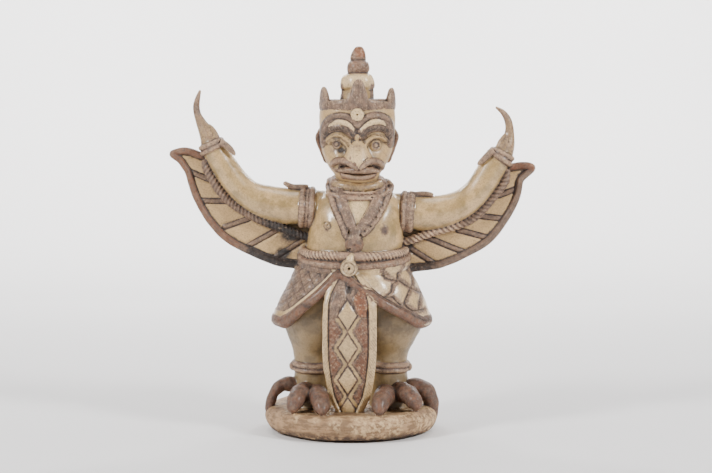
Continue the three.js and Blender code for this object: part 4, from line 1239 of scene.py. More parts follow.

# %% [markdown]
# ## Where the colours lie
#
# On the real figure an iron-bearing wash was brushed on the trims, and the pale glaze went over
# everything. Where the glaze is thin or the fire was hot the iron turned rusty, where a trim was
# rubbed the wash is pale, and where glaze ran together it set almost black. The plinth is nearly
# bare clay. Some light and shade is painted in as well: the legs are painted darker as the shade
# under the skirt, a near-black dab is the pendant's painted shadow, and the chest inside the
# garland is painted paler as a highlight. So each point of the skin gets an amount of wash, worn,
# rust, pool (pooled glaze and that painted shadow) and cream (the palest glaze and that painted
# highlight), of thick (the painted shade on the legs, in the olive of thick glaze), of dry glaze, of
# bare clay and of scoring. Two more numbers are lengths: the distance to the nearest dark line, and
# a ruler laid across fine scored strokes. All come from the part that a point lies on and from the
# distances that cut the relief.

# %% Tools for the brush
def numbers_of(mesh, name):
    """The numbers kept on a mesh under a name."""
    flat = np.empty(len(mesh.vertices), np.float32)
    mesh.attributes[name].data.foreach_get("value", flat)
    return flat.astype(float)


points = points_of(figure.data)
x, y, z = points[:, 0], points[:, 1], points[:, 2] - PLINTH_TOP
part = np.rint(numbers_of(figure.data, "part")).astype(int)
in_front = step_up(-y, 0, 6)
paint = {name: np.zeros(len(x)) for name in ("wash", "worn", "rust", "pool", "cream", "thick", "bare")}


def on(*names):
    """One on the parts named, nothing elsewhere."""
    return np.isin(part, [part_names.index(name) for name in names]).astype(float)


def stroke(distance, half_width, soft=0.7):
    """One along a line, falling to nothing just outside its half width."""
    return step_up(-distance, -half_width - soft, -half_width)


def hills(*rows):
    """The sum of round swellings on the skin, each a middle and its spreads."""
    return sum(hill(x, z, *row) for row in rows)


def brush(name, amount):
    """Lays a colour on wherever there is less of it than this amount."""
    paint[name] = np.maximum(paint[name], amount)


def wipe(name, amount):
    """Takes a share of a colour off again."""
    paint[name] = paint[name] * (1 - amount)


def dabs(where, *rows):
    """Soft dabs: rows of a colour, its amount, its middle and its spread sideways and upwards."""
    for name, amount, *place in rows:
        brush(name, where * amount * hills(place))


print("points to colour:", len(x), "of which in front:", int((in_front > 0.5).sum()))

# %% Tools for dark lines and scored strokes
FAR = 9.0  # a distance past which a dark line doesn't show
ink = np.full(len(x), FAR)  # distance in millimetres to the nearest dark line
scored = np.zeros(len(x))  # where strokes are scored
ruler = np.zeros(len(x))  # a length that grows across them


def draw(distance, where):
    """Adds a dark line on the places given."""
    ink[:] = np.minimum(ink, distance + FAR * (1 - where))


def score(where, across):
    """Marks fine strokes, which will lie square to the distance given."""
    ruler[:] = np.where(where > 0.5, across, ruler)
    scored[:] = np.maximum(scored, where)


print("no lines yet: the nearest is", ink.min(), "mm away")

# %% Parts that are coloured all over
ALL_OVER = {
    "wash": ((1.0, ("belt rope", "band", "garland", "pendant", "armlet", "wristband", "leaf", "rope", "hem",
                    "wing rim", "crown", "crown leaf", "lips", "anklet", "toe")),
             (0.9, ("claw",)), (0.85, ("collar", "ear rim", "ear")), (0.45, ("neck", "nipple", "knot"))),
    "rust": ((0.8, ("ear",)), (0.6, ("bead",)), (0.42, ("toe", "ear rim", "claw", "hem")),
             (0.35, ("band", "lips", "collar")), (0.34, ("pendant",))),
    "worn": ((0.8, ("belt rope", "collar")), (0.5, ("garland", "armlet", "crown", "wristband")),
             (0.4, ("crown leaf", "lips", "leaf", "anklet", "sash", "topknot", "band")),
             (0.3, ("head", "skirt", "arm")), (0.15, ("pendant",)),
             (0.06, ("hem", "wing rim", "wing", "ear", "ear rim"))),
    "pool": ((0.4, ("toe", "claw")), (0.24, ("belt rope", "band", "rope", "lips", "pendant", "topknot")),
             (0.3, ("garland", "armlet", "crown", "crown leaf", "hem", "collar", "wing rim", "leaf",
                    "wristband"))),
    "cream": ((0.6, ("drop", "knot", "forehead jewel")),),
    # Painted shade: the legs are darkened all over, in the olive of thick glaze, for the shade under the
    # skirt.
    "thick": ((1.0, ("leg",)),),
    "bare": ((1.0, ("plinth",)),),
}
for name, rows in ALL_OVER.items():
    for amount, parts in rows:
        brush(name, amount * on(*parts))
brush("wash", on("head") * step_up(z, 247.6, 248.4))
brush("worn", on("rope") * (0.08 + 0.9 * step_up(-x, -96, -84) * (x > 0)))
score(on("crown", "crown leaf") * in_front, x * 1.1 + 0.05 * z)
print("washed:", round(float(paint["wash"].mean()), 2), "of the points")

# %% Colours of the head
face = on("head") * in_front
FACE_STROKES = (("wash", "arch", 1.0, 2.6), ("wash", "brow", 1.0, 2.5), ("wash", "lower lip", 0.9, 1.5),
                ("pool", "brow", 0.52, 1.6), ("rust", "lower lip", 0.4, 1.3), ("cream", "lid", 0.65, 2.0))
for name, line, amount, half_width in FACE_STROKES:
    brush(name, face * amount * stroke(face_line(line, x, z), half_width))
brush("wash", face * stroke(distance_to([[5.4, 241], [5.4, 230], [4.9, 219.5]], x, z), 2.4))
brush("wash", in_front * on("head", "beak") * 0.8 * stroke(face_line("mouth", x, z), 2.0))
dabs(face, ("rust", 0.8, 5.2, 223, 3, 5), ("wash", 0.6, -12, 214.6, 9, 3.4),
     ("pool", 0.8, -7.4, 214.2, 5.2, 3.2), ("pool", 0.8, 1.6, 221.0, 2.4, 3.0),
     ("pool", 0.45, 19, 213.6, 3.5, 1.8))
dabs(on("beak", "head") * in_front, ("cream", 0.5, 5.8, 206, 8, 11))
dabs(on("beak") * in_front, ("rust", 0.4, 5.8, 214, 7, 4), ("wash", 0.5, 5.8, 217, 7, 5))
score(face * stroke(face_line("brow", x, z), 2.2), brow_ruler(x, z))
print("face points with wash:", int((face * paint["wash"] > 0.5).sum()))

# %% Dark lines of the face, the eyes and the hollows between the lips
for name, offset, thicker, where in (("arch", 2.7, 0, 1), ("brow", 2.5, 0, z < 230), ("fold", 1.7, 0.25, 1),
                                     ("inner fold", 1.4, 0.2, 1), ("mouth", 0, 0.2, 1)):
    draw(np.abs(face_line(name, x, z) - offset) - thicker, face * where)
for eye, amount, half_width in zip(EYES, (0.9, 0.62), (3.0, 3.4)):
    brush("wash", face * amount * stroke(np.hypot(x - eye[0], z - eye[1]), half_width))
    rings = np.hypot(x - eye[0], (z - eye[1]) * EYE_SQUASH)
    draw(np.abs(rings - PUPIL * eye[2]), face)
    draw(np.abs(rings - SOCKET * eye[2]), face * (z > eye[1] - 1))
lips = in_front * on("head", "lips")
for hollow in HOLLOWS:
    away = np.hypot(x - hollow[0], z - hollow[1])
    brush("wash", lips * stroke(away, 3.4))
    draw(away - 1.5, lips)
print("face points on a dark line:", int((face * (ink < 0.5)).sum()))

# %% Colours of the topknot
knot, across = on("topknot"), np.abs(x - KNOT_MIDDLE)
bulb = step_up(z, 276.4, 277.6)
brush("wash", knot * bulb)
brush("rust", knot * (0.36 * bulb + 0.5 * step_up(z, 290.6, 292) * step_up(x, 2.5, 5)))
brush("pool", knot * 0.7 * ridge(np.abs(z - 289.0), 1.5))
brush("wash", knot * 0.9 * step_up(across, 9.5, 12.5) * step_up(-z, -272, -266))
brush("cream", 0.8 * knot * step_up(-z, -276.4, -275) * step_up(z, 264, 268))
groove = z - 264.3 - 0.8 * np.sin(3 * np.arctan2(y, x - KNOT_MIDDLE))
draw(np.abs(groove), knot * step_up(across, 6, 10))
print("topknot points:", int(knot.sum()))

# %% Colours of the sash
sash_width = np.interp(z, [row[0] for row in SASH], [row[2] for row in SASH])
sash, deep = on("sash") * in_front, sash_inside(x, sash_width)
brush("cream", 0.42 * sash * step_up(-deep, -0.4, 0.4))
brush("wash", 0.34 * sash)
brush("wash", sash * step_up(deep, 0.0, 0.8))
for lapel, rust in zip(LAPELS, (0.85, 0.12)):
    brush("rust", sash * rust * step_up(depth_inside(lapel, x, z), -0.6, 0.4))
    draw(np.abs(depth_inside(lapel, x, z)), sash * (rust > 0.5))
outline, depth = sash_pattern(x, z)
wipe("wash", sash * step_up(depth, 0.2, 0.9) * (z < 96) * (deep > 1))
brush("cream", 0.25 * sash * step_up(depth, 0.2, 0.9) * (z < 96))
brush("wash", 0.32 * sash)
draw(outline, sash * (z < 95) * (deep > 0.5))
draw(np.abs(deep - 0.8), sash * (z < 98))
draw(np.abs(depth + 3.6), sash * (z < 79) * (deep > 1.5))
wipe("wash", 0.75 * sash * (z < 79) * stroke(np.abs(depth + 2.0), 1.3, 0.4))
brush("rust", sash * 0.5 * step_up(deep, 0.5, 1.5) * step_up(-depth, 3.6, 5) * (z < 78))
fold = depth_inside([[-6.2, 111], [3.2, 109.7], [1.8, 100.2], [-1.5, 94.8], [-4.9, 100.9]], x, z)
brush("pool", sash * 0.62 * step_up(fold, -1.5, 1.5))
score(sash * (depth < -4.2) * (z < 78), np.abs(x - SASH_MIDDLE) * 0.85 + z * 0.52)
score(sash * (z > 84) * (depth < -0.5) * (x < -2), x * 0.97 + 0.2 * z)
print("sash points:", int(sash.sum()))

# %% Colours of the skirt
down = WAIST - z
half_width, half_depth = (half + flare * down for half, flare in zip(WAIST_HALVES, FLARE))
around = np.arctan2(y / half_depth, (x - SKIRT_MIDDLE) / half_width)
lines, over_hem = skirt_lines(around, z), z - hem_height(around)
skirt, hem = on("skirt"), on("hem")
dense, left = step_up(-x, 4, 8) * in_front, step_up(x, 10, 20) * in_front  # the right and the left flap
brush("wash", skirt * stroke(lines, 1.9 - 0.6 * dense, 0.9) * (1 - 0.35 * left))
brush("wash", skirt * dense * 0.62 * step_up(over_hem, 9.5, 11.5))
brush("wash", skirt * dense * 0.8 * step_up(-over_hem, -5.8, -5.0))
edge_strip = skirt * dense * stroke(np.abs(over_hem - 8.6), 1.9, 0.8) * step_up(x, -62, -44)
brush("cream", 0.75 * edge_strip)
wipe("wash", 0.75 * edge_strip)
score(skirt * dense * step_up(over_hem, 11, 12), (z - 0.685 * x) / 1.21)
brush("wash", skirt * left * stroke(np.abs(over_hem - 4.6), 1.8))
brush("pool", skirt * left * 0.55 * stroke(np.abs(over_hem - 4.8), 1.4))
brush("cream", skirt * left * 0.3)
brush("wash", 0.3 * skirt)
dabs(skirt, ("wash", 0.7, 30, 112, 4, 4))
draw(lines + 0.3, skirt * (1 - dense) * in_front)
draw(np.abs(over_hem - 3.2), on("skirt", "hem") * in_front)
brush("rust", hem * 0.5 * hills((-56, 76, 8, 5), (-43, 84, 7, 4), (44, 84, 12, 7)) * in_front)
brush("pool", hem * 0.45 * step_up(over_hem, 1.5, 3.5) * left)
dabs(hem, ("pool", 0.6, -36, 88, 6, 4))
print("skirt points with wash:", int((skirt * paint["wash"] > 0.5).sum()))

# %% Colours of the chest
# Painted shadow: a near-black dab below and left of the pendant, where its shadow falls on the chest.
dabs(on("body", "pendant") * in_front, ("pool", 0.7, -2.8, 133.0, 3.0, 2.4))
dabs(on("garland", "body") * in_front, ("pool", 0.55, 2.6, 148.4, 6, 3.6))
dabs(on("body") * in_front, ("wash", 0.8, -19.8, 150.2, 2.8, 3.0))
dabs(on("body", "nipple") * in_front, ("wash", 0.95, 27.6, 148.8, 4.2, 5.6))
between = depth_inside([[-10, 182], [22, 182], [6, 150]], x, z)  # the chest inside the garland's V
# Painted highlight: the chest inside the garland's V is painted paler, in the cream of the glaze.
brush("cream", on("body") * in_front * 0.75 * step_up(between, -1, 3))
for x0, z0, wide, high, _ in PITS[:8]:
    draw(np.hypot((x - x0) / wide, (z - z0) / high) - 0.75, on("garland", "pendant", "body") * in_front)
for line, half_width in zip(BEADED, (2.6, 2.8)):
    draw(np.abs(distance_to(line, x, z) - half_width), on("garland") * in_front)
draw(np.hypot(x - PIT[0], z - PIT[1]) - 1.2, sash)
nipple = np.hypot(x + 19.4, z - 152.8)
draw(np.minimum(nipple - 0.5, np.abs(nipple - 3.0)), on("body", "nipple") * in_front)
print("points near a dark line:", int((ink < 0.5).sum()))

# %% Colours of the wings and the hands
QUILL_WASH = {-1: 0.66, 1: 0.85}
HANDS = {  # where a hand starts, where its wash is full, and the crease at its thumb
    -1: (285, 258, [[-127.5, 232], [-124.5, 227.5], [-121, 224.6]]),
    1: (283, 248, [[130.8, 235], [130.2, 227], [131.2, 219]]),
}
for side in (-1, 1):
    web, quill, rim = on("wing") * step_up(side * x, 38, 44), to_quill(side, x, z), to_rim(side, x, z)
    brush("wash", web * QUILL_WASH[side] * stroke(quill, 2.3, 1.2))
    brush("wash", web * stroke(rim, 3.3))
    crisp = (rim > 3.4) * (1 if side > 0 else step_up(-x, 84, 96))
    draw(np.abs(quill - 2.1) + 0.15, web * crisp)
    draw(np.abs(rim - 3.7), web)
    start, full_wash, crease = HANDS[side]
    hand = on("arm") * step_up(side * x + 0.8 * z, start, start + 6)
    brush("wash", hand * (0.5 + 0.45 * step_up(z, 236, full_wash)))
    brush("rust", hand * 0.3)
    draw(distance_to(crease, x, z), hand * in_front)
print("wing points with wash:", int((on("wing") * paint["wash"] > 0.5).sum()))

# %% Pooled glaze and rust on the wings and the arms
right_rim, left_rim = to_rim(-1, x, z), to_rim(1, x, z)
wings = on("wing", "wing rim")
right_rope, left_rope = step_up(x, -104, -52) * (x < 0), step_up(-x, -62, -46) * (x > 0)
brush("pool", on("rope") * (0.85 * right_rope + 0.5 * left_rope))
brush("pool", wings * (x < 0) * step_up(x, -96, -78) * stroke(right_rim, 4.5, 2.0))
inner_left = 0.6 * step_up(-x, -90, -62) * stroke(left_rim, 3.6, 1.5) + hills((47, 134, 6, 6))
brush("pool", wings * (x > 0) * inner_left)
brush("pool", on("wing") * 0.9 * hills((-49, 141.5, 12, 5), (-57, 127, 8, 6)))
brush("wash", on("wing") * 0.5 * hills((-52, 139, 18, 10), (54, 137, 12, 8)))
brush("pool", on("arm") * 0.8 * hills((-44, 150, 12, 4), (50, 146, 9, 4)))
brush("rust", on("arm") * 0.35 * hills((56, 150, 5, 4), (62, 135, 5, 3)))
tips = step_up(-x, 82, 98) * 0.46 + step_up(x, 128, 134) * step_up(z, 194, 198) * 0.56
brush("rust", wings * tips * np.minimum(stroke(right_rim, 3.3) + stroke(left_rim, 3.3), 1))
print("points with pooled glaze and painted shadow:", int((paint["pool"] > 0.5).sum()))

# %% The amounts kept on the skin
plain = 1 - np.clip(paint["wash"] + paint["pool"], 0, 1)
dry = (on("wing") + 0.5 * on("leg") + 0.85 * on("beak", "head") * in_front) * plain
for name, amount in (*paint.items(), ("dry", dry), ("scored", scored)):
    keep_numbers(figure.data, name, np.clip(amount, 0, 1))
    print(name, "on", round(100 * float((amount > 0.4).mean()), 1), "% of the points")
keep_numbers(figure.data, "ink", np.clip(ink, -3, 4))
keep_numbers(figure.data, "ruler", ruler)

# %% [markdown]
# ## Tools for the kiln's colours
#
# A material here is a small tree of nodes. Effects that several colours share are node groups with
# named inputs and outputs. These helpers add a node, set its inputs and link it in one line, which
# keeps each group short enough to read.

# %% Nodes in one line
def add(tree, kind, settings=None, **inputs):
    """A node with its settings. Each input is a number, a colour or another node's output."""
    node = tree.nodes.new(kind)
    for name, value in (settings or {}).items():
        setattr(node, name, value)
    for name, value in inputs.items():
        key = int(name[1:]) if name[1:].isdigit() else name.replace("_", " ")
        socket = node.inputs[key]
        if isinstance(value, bpy.types.NodeSocket):
            tree.links.new(value, socket)
        else:
            socket.default_value = value
    return node


def maths(tree, how, first, second=0.5):
    """One sum: ADD, SUBTRACT, MULTIPLY, MAXIMUM and so on."""
    return add(tree, "ShaderNodeMath", {"operation": how}, n0=first, n1=second).outputs[0]


def times(tree, first, second):
    """One value times another."""
    return maths(tree, "MULTIPLY", first, second)


def plus(tree, first, second):
    """One value added to another."""
    return maths(tree, "ADD", first, second)


def span(tree, value, low, high):
    """Nothing below low, one above high, an even S between."""
    return add(tree, "ShaderNodeMapRange", {"interpolation_type": "SMOOTHSTEP"}, Value=value, From_Min=low,
               From_Max=high).outputs[0]


def place_on_piece(tree):
    """The place of a point on the piece itself."""
    return add(tree, "ShaderNodeTexCoord").outputs["Object"]


print("helpers for nodes: add, maths, times, plus, span")

# %% Colours, and colours laid one over another
def colour(*levels):
    """A colour from the numbers a paint program shows, nought to 255, as light: each over 255, less
    its bent curve."""
    return tuple(np.round(((np.array(levels) / 255 + 0.055) / 1.055) ** 2.4, 4).tolist()) + (1.0,)


def mixed(tree, share, first, second):
    """One colour laid over another by a share."""
    return add(tree, "ShaderNodeMix", {"data_type": "RGBA"}, n0=share, n6=first, n7=second).outputs[2]


def layered(tree, ground, *layers):
    """A ground colour and what is laid over it in turn: each layer is a share and a colour."""
    for share, above in layers:
        ground = mixed(tree, share, ground, above)
    return ground


def new_group(name, inputs, outputs):
    """An empty node group with named number inputs and named outputs, and its two end nodes."""
    tree = bpy.data.node_groups.new(name, "ShaderNodeTree")
    for label, value in inputs.items():
        socket = tree.interface.new_socket(label, in_out="INPUT", socket_type="NodeSocketFloat")
        socket.default_value = value
    for label, kind in outputs.items():
        tree.interface.new_socket(label, in_out="OUTPUT", socket_type="NodeSocket" + kind)
    return tree, tree.nodes.new("NodeGroupInput").outputs, tree.nodes.new("NodeGroupOutput").inputs


def placed(tree, group, **inputs):
    """A node group placed in a tree, with its own inputs."""
    return add(tree, "ShaderNodeGroup", {"node_tree": group}, **inputs).outputs


print("a mid brown as light:", colour(150, 120, 100))

# %% Groups for patches and ragged edges
METRE = 1000.0  # millimetres, to turn a size into a scale of noise
patches, take, give = new_group("patches", {"Size mm": 4.0, "Low": 0.4, "High": 0.6, "Detail": 3.0},
                                {"Mask": "Float"})
cloud = add(patches, "ShaderNodeTexNoise", Vector=place_on_piece(patches),
            Scale=maths(patches, "DIVIDE", METRE, take["Size mm"]), Detail=take["Detail"], Roughness=0.6)
patches.links.new(span(patches, cloud.outputs[0], take["Low"], take["High"]), give["Mask"])

ragged, take, give = new_group("ragged edge", {"Amount": 0.0, "Roughness mm": 1.6, "Break": 0.5},
                               {"Mask": "Float"})
cloud = add(ragged, "ShaderNodeTexNoise", Vector=place_on_piece(ragged),
            Scale=maths(ragged, "DIVIDE", METRE, take["Roughness mm"]), Detail=2.0)
moved = times(ragged, maths(ragged, "SUBTRACT", cloud.outputs[0], 0.5), take["Break"])
ragged.links.new(span(ragged, plus(ragged, moved, take["Amount"]), 0.25, 0.7), give["Mask"])


def patch(tree, size, low, high, detail=3.0):
    """A mask of soft patches of a size in millimetres."""
    return placed(tree, patches, Size_mm=size, Low=low, High=high, Detail=detail)[0]


def edged(tree, amount, size, broken):
    """A painted amount with its edge broken by grain of a size in millimetres."""
    return placed(tree, ragged, Amount=amount, Roughness_mm=size, Break=broken)[0]


def kept(tree, name):
    """A number kept on the mesh."""
    return add(tree, "ShaderNodeAttribute", {"attribute_name": name}).outputs["Fac"]


print("groups:", ", ".join(group.name for group in (patches, ragged)))

# %% [markdown]
# ## Glaze, wash, pooled glaze and bare clay
#
# The glaze is pale, duller and greener where it is thick, with small iron specks and a net of fine
# cracks. Its darkest olive is also painted on the legs as the shade under the skirt, and its cream
# on the chest inside the garland as a painted highlight. The wash is brown: its high places are worn
# to the pale body and its cuts stay dark. Pooled glaze is nearly black, with a warm tone, and the
# same colour paints the pendant's shadow on the chest. Bare clay is sandy, with scabs where glaze
# dripped on it.
# Dark lines and scored strokes lie over all of them. Each of these is a node group of its own, so
# one material can lay them over each other by the amounts kept on the skin.

# %% Pale glaze
glaze, take, give = new_group(
    "pale glaze", {"Cream": 0.0, "Dry": 0.0, "Thick": 0.0, "Hollow": 0.0, "Broad hollow": 0.0},
    {"Color": "Color", "Height": "Float"})
thin = mixed(glaze, patch(glaze, 22, 0.38, 0.66), colour(198, 163, 113), colour(180, 149, 99))
deep = mixed(glaze, patch(glaze, 9, 0.4, 0.65), colour(164, 134, 87), colour(144, 120, 75))
# Painted shade for the legs under the skirt, in the olive of the thickest glaze.
leg_shade_olive = mixed(glaze, patch(glaze, 12, 0.4, 0.62), colour(136, 112, 74), colour(108, 88, 58))
cuts = times(glaze, span(glaze, take["Hollow"], 0.03, 0.2), 0.8)
folds = times(glaze, span(glaze, take["Broad hollow"], 0.12, 1.3), 0.75)
grain = times(glaze, patch(glaze, 1.3, 0.42, 0.62, 2.0), 0.32)
specks = times(glaze, patch(glaze, 1.5, 0.63, 0.72, 1.0), 0.5)
# The cream layer is also the painted highlight on the chest inside the garland.
glaze_colour = layered(
    glaze, thin, (patch(glaze, 14, 0.42, 0.62), deep),
    (times(glaze, take["Dry"], 0.75), colour(190, 155, 108)), (take["Thick"], leg_shade_olive),
    (take["Cream"], colour(242, 210, 160)), (cuts, colour(104, 82, 54)), (folds, colour(108, 90, 58)),
    (grain, colour(124, 98, 62)), (specks, colour(110, 84, 54)))
glaze.links.new(glaze_colour, give["Color"])
net = add(glaze, "ShaderNodeTexVoronoi", {"feature": "DISTANCE_TO_EDGE"}, Vector=place_on_piece(glaze),
          Scale=240.0)
cracks = times(glaze, span(glaze, net.outputs[0], 0.0, 0.04), 0.3)
uneven = plus(glaze, patch(glaze, 3.5, 0.2, 0.8), times(glaze, patch(glaze, 1.3, 0.2, 0.8), 0.4))
glaze.links.new(plus(glaze, cracks, uneven), give["Height"])
print("pale glaze:", len(glaze.nodes), "nodes")

# %% Iron wash
wash, take, give = new_group("iron wash", {"Rust": 0.0, "Worn": 0.5, "Hollow": 0.0},
                             {"Color": "Color", "Height": "Float"})
fresh = mixed(wash, patch(wash, 5, 0.35, 0.65), colour(114, 88, 69), colour(86, 68, 58))
faded = mixed(wash, patch(wash, 5, 0.35, 0.65), colour(156, 122, 98), colour(116, 94, 80))
rusty = mixed(wash, patch(wash, 6, 0.35, 0.65), colour(136, 82, 50), colour(104, 63, 41))
high_places = span(wash, times(wash, take["Hollow"], -1.0), 0.02, 0.16)
high_places = times(wash, high_places, patch(wash, 2.2, 0.3, 0.56))
high_places = times(wash, high_places, plus(wash, times(wash, take["Worn"], 0.85), 0.1))
rubbed = times(wash, patch(wash, 3.4, 0.53, 0.66, 4.0), times(wash, take["Worn"], 0.7))
pale_flecks = times(wash, patch(wash, 1.9, 0.54, 0.68, 3.0), times(wash, take["Worn"], 0.9))
dark_flecks = times(wash, patch(wash, 2.7, 0.55, 0.68, 4.0), 0.5)
cuts = times(wash, span(wash, take["Hollow"], 0.0, 0.15), 0.94)
brown = layered(
    wash, fresh, (take["Worn"], faded), (edged(wash, take["Rust"], 3.0, 0.7), rusty),
    (high_places, colour(214, 178, 138)), (rubbed, colour(200, 165, 128)),
    (pale_flecks, colour(208, 176, 140)), (dark_flecks, colour(60, 47, 40)), (cuts, colour(52, 40, 34)))
wash.links.new(brown, give["Color"])
wash.links.new(patch(wash, 1.4, 0.3, 0.7, 4.0), give["Height"])
print("iron wash:", len(wash.nodes), "nodes")

# %% Pooled glaze, also the colour of a painted shadow
pool, take, give = new_group("pooled glaze and painted shadow", {}, {"Color": "Color"})
black = mixed(pool, patch(pool, 3.5, 0.35, 0.65), colour(28, 21, 17), colour(54, 43, 37))
pale_spots = times(pool, patch(pool, 2.4, 0.58, 0.7), 0.45)
pool.links.new(mixed(pool, pale_spots, black, colour(150, 128, 104)), give["Color"])
print("pooled glaze and painted shadow:", len(pool.nodes), "nodes")

# %% Bare clay
bare, take, give = new_group("bare clay", {"Hollow": 0.0}, {"Color": "Color", "Height": "Float"})
clay_place = place_on_piece(bare)
flattened = add(bare, "ShaderNodeVectorMath", {"operation": "MULTIPLY"}, n0=clay_place, n1=(1, 1, 5))
noise = add(bare, "ShaderNodeTexNoise", Vector=flattened.outputs[0], Scale=90.0, Detail=4.0).outputs[0]
streaks = times(bare, span(bare, noise, 0.45, 0.6), 0.75)
scabs = times(bare, times(bare, patch(bare, 26, 0.46, 0.56, 1.0), patch(bare, 3.2, 0.44, 0.6, 5.0)), 0.85)
grit = times(bare, patch(bare, 2.2, 0.56, 0.7, 4.0), 0.5)
cuts = times(bare, span(bare, take["Hollow"], 0.02, 0.2), 0.8)
height_up = add(bare, "ShaderNodeSeparateXYZ", Vector=clay_place).outputs[2]
near_floor = maths(bare, "SUBTRACT", 1.0, span(bare, height_up, 0.002, 0.009))  # metres above the floor
foot = times(bare, times(bare, near_floor, patch(bare, 5, 0.42, 0.54, 4.0)), 0.85)
sandy = mixed(bare, patch(bare, 10, 0.38, 0.62), colour(172, 138, 101), colour(149, 116, 82))
sandy = layered(
    bare, sandy, (streaks, colour(112, 86, 60)), (scabs, colour(206, 174, 130)),
    (grit, colour(96, 70, 50)), (cuts, colour(84, 64, 46)), (foot, colour(58, 42, 32)))
bare.links.new(sandy, give["Color"])
bare.links.new(patch(bare, 1.8, 0.3, 0.75, 5.0), give["Height"])
print("bare clay:", len(bare.nodes), "nodes")

# %% Dark lines and scored strokes
lines, take, give = new_group("dark lines", {"Distance": 4.0, "Ruler": 0.0, "Scored": 0.0},
                              {"Mask": "Float"})
half_width = plus(lines, times(lines, patch(lines, 3.0, 0.3, 0.7), 0.65), 0.1)
beyond = span(lines, maths(lines, "SUBTRACT", take["Distance"], half_width), 0.0, 0.45)
strength = plus(lines, times(lines, patch(lines, 6.0, 0.38, 0.62), 0.62), 0.28)
on_line = times(lines, maths(lines, "SUBTRACT", 1.0, beyond), strength)
wander = plus(lines, take["Ruler"], times(lines, patch(lines, 5.0, 0.2, 0.8), 0.9))
wave = maths(lines, "SINE", times(lines, wander, 3.7))
strokes = times(lines, span(lines, wave, 0.35, 0.95), take["Scored"])
strokes = times(lines, strokes, patch(lines, 4.0, 0.42, 0.6))
lines.links.new(maths(lines, "MAXIMUM", on_line, times(lines, strokes, 0.75)), give["Mask"])
print("dark lines:", len(lines.nodes), "nodes")

# %% The whole fired skin
look = bpy.data.materials.new("glazed_stoneware")
look.use_nodes = True
tree = look.node_tree
fired = tree.nodes["Principled BSDF"]
hollow = kept(tree, "hollow")
# The legs' painted shade comes in through thick, and cream also holds the painted highlight on the chest.
pale = placed(tree, glaze, Cream=kept(tree, "cream"), Dry=kept(tree, "dry"), Thick=kept(tree, "thick"),
              Hollow=hollow, Broad_hollow=kept(tree, "broad_hollow"))
washed = placed(tree, wash, Rust=kept(tree, "rust"), Worn=kept(tree, "worn"), Hollow=hollow)
sand = placed(tree, bare, Hollow=hollow)
inked = placed(tree, lines, Distance=kept(tree, "ink"), Ruler=kept(tree, "ruler"),
               Scored=kept(tree, "scored"))[0]
bare_mask = edged(tree, kept(tree, "bare"), 4.0, 0.6)
wash_mask = edged(tree, kept(tree, "wash"), 1.8, 0.55)
# Pool holds pooled glaze and also the painted shadow below the pendant.
pool_and_shadow_mask = edged(tree, kept(tree, "pool"), 3.4, 0.5)
surface = layered(
    tree, pale["Color"], (bare_mask, sand["Color"]), (wash_mask, washed["Color"]),
    (pool_and_shadow_mask, placed(tree, pool)["Color"]), (times(tree, inked, 0.85), colour(54, 42, 36)))
tree.links.new(surface, fired.inputs["Base Color"])
print("skin colours joined:", len(tree.nodes), "nodes")

# %% Gloss and fine relief of the skin
dull = times(tree, wash_mask, 0.8)
for share in (bare_mask, times(tree, kept(tree, "dry"), 0.85), times(tree, pool_and_shadow_mask, 0.75)):
    dull = maths(tree, "MAXIMUM", dull, share)
tree.links.new(times(tree, maths(tree, "SUBTRACT", 1.0, dull), 0.62), fired.inputs["Coat Weight"])
fired.inputs["Coat Roughness"].default_value = 0.2
rough = plus(tree, times(tree, dull, 0.3), times(tree, patch(tree, 3.0, 0.3, 0.7), 0.14))
tree.links.new(plus(tree, rough, 0.3), fired.inputs["Roughness"])
relief = times(tree, pale["Height"], 0.4)
for share, height in ((wash_mask, washed["Height"]), (bare_mask, sand["Height"])):
    relief = plus(tree, relief, times(tree, share, height))
relief = maths(tree, "SUBTRACT", relief, inked)
bump = add(tree, "ShaderNodeBump", Strength=0.75, Distance=0.0004, Height=relief)
tree.links.new(bump.outputs[0], fired.inputs["Normal"])
figure.data.materials.append(look)
print("stoneware:", len(tree.nodes), "nodes")

# %% [markdown]
# ## Floor, light and camera
#
# The figure stands on a pale sheet that runs back and curves up behind it, so floor and wall have no
# corner between them. Two soft lamps in front light it evenly from left and right, and a weak one
# hangs above. Two more light the sheet alone, so its tone can be set without changing the figure's.
# The camera stands a metre and a half away, a little above, with a long lens that bends nothing.

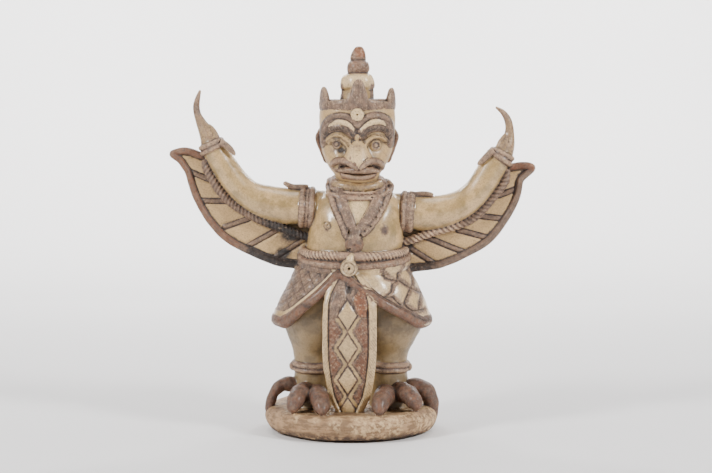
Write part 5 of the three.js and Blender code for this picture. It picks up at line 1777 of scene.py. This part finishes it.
# %% Floor
# y and height of the sheet in millimetres, from behind the camera to the top behind the figure
BACKDROP = [[-2600, 0], [500, 0], [1000, 15], [1500, 90], [1900, 330], [2100, 800], [2200, 1800]]
HALF_WIDTH = 2600
section = evenly(BACKDROP, 30.0)
x, y = np.broadcast_arrays(np.linspace(-HALF_WIDTH, HALF_WIDTH, 3)[None, :], section[:, :1])
sheet = np.stack([x, y, np.broadcast_to(section[:, 1:], x.shape)], -1)
i = np.arange(len(section) - 1)[:, None] * 3 + np.arange(2)[None, :]
cells = np.stack([i, i + 1, i + 4, i, i + 4, i + 3], -1).reshape(-1, 3)
floor = mesh_object("floor", sheet.reshape(-1, 3), cells)
paper = bpy.data.materials.new("floor")
paper.use_nodes = True
paper_surface = paper.node_tree.nodes["Principled BSDF"]
paper_surface.inputs["Base Color"].default_value = (0.8, 0.785, 0.78, 1)
paper_surface.inputs["Roughness"].default_value = 0.8
floor.data.materials.append(paper)
floor.data.shade_smooth()
bpy.context.collection.objects.link(floor)
print("floor:", len(cells), "triangles")

# %% Lights
FIGURE_MIDDLE, WALL = (0, 0, 0.17), (0, 2.05, 0.4)  # what the lamps are aimed at, in metres
LAMPS = {  # place in metres, aim, size in metres, power in watts
    "left lamp": ((-1.3, -0.85, 1.0), FIGURE_MIDDLE, 0.32, 35),
    "right lamp": ((1.3, -0.85, 1.0), FIGURE_MIDDLE, 0.32, 35),
    "top lamp": ((0.0, 0.1, 1.5), FIGURE_MIDDLE, 0.6, 6),
    "left wall lamp": ((-0.8, 1.3, 1.3), WALL, 0.5, 42),
    "right wall lamp": ((0.8, 1.3, 1.3), WALL, 0.5, 42),
}


def soft_box(name, place, aim, size, power):
    """A square lamp at a place, turned to face a point."""
    lamp = bpy.data.lights.new(name, "AREA")
    lamp.size, lamp.energy = size, power
    holder = bpy.data.objects.new(name, lamp)
    holder.location = place
    holder.rotation_euler = (Vector(place) - Vector(aim)).to_track_quat("Z", "Y").to_euler()
    bpy.context.collection.objects.link(holder)


for name, lamp_values in LAMPS.items():
    soft_box(name, *lamp_values)
world = bpy.data.worlds.new("pale room")
world.use_nodes = True
room = world.node_tree.nodes["Background"]
room.inputs[0].default_value = (0.9, 0.89, 0.9, 1)
room.inputs[1].default_value = 0.26
bpy.context.scene.world = world
print("lamps:", ", ".join(LAMPS))

# %% Camera
LOOKS_DOWN = 4.52  # degrees
camera = bpy.data.objects.new("camera", bpy.data.cameras.new("camera"))
camera.location = (0.0042, -1.5, 0.28)
camera.rotation_euler = (math.radians(90 - LOOKS_DOWN), 0, 0)
camera.data.lens, camera.data.sensor_width = 90.86, 36
bpy.context.collection.objects.link(camera)
bpy.context.scene.camera = camera
print("camera:", -camera.location.y, "m in front of the figure")

# %% Close
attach(figure, "root")
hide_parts("garuda_figure")
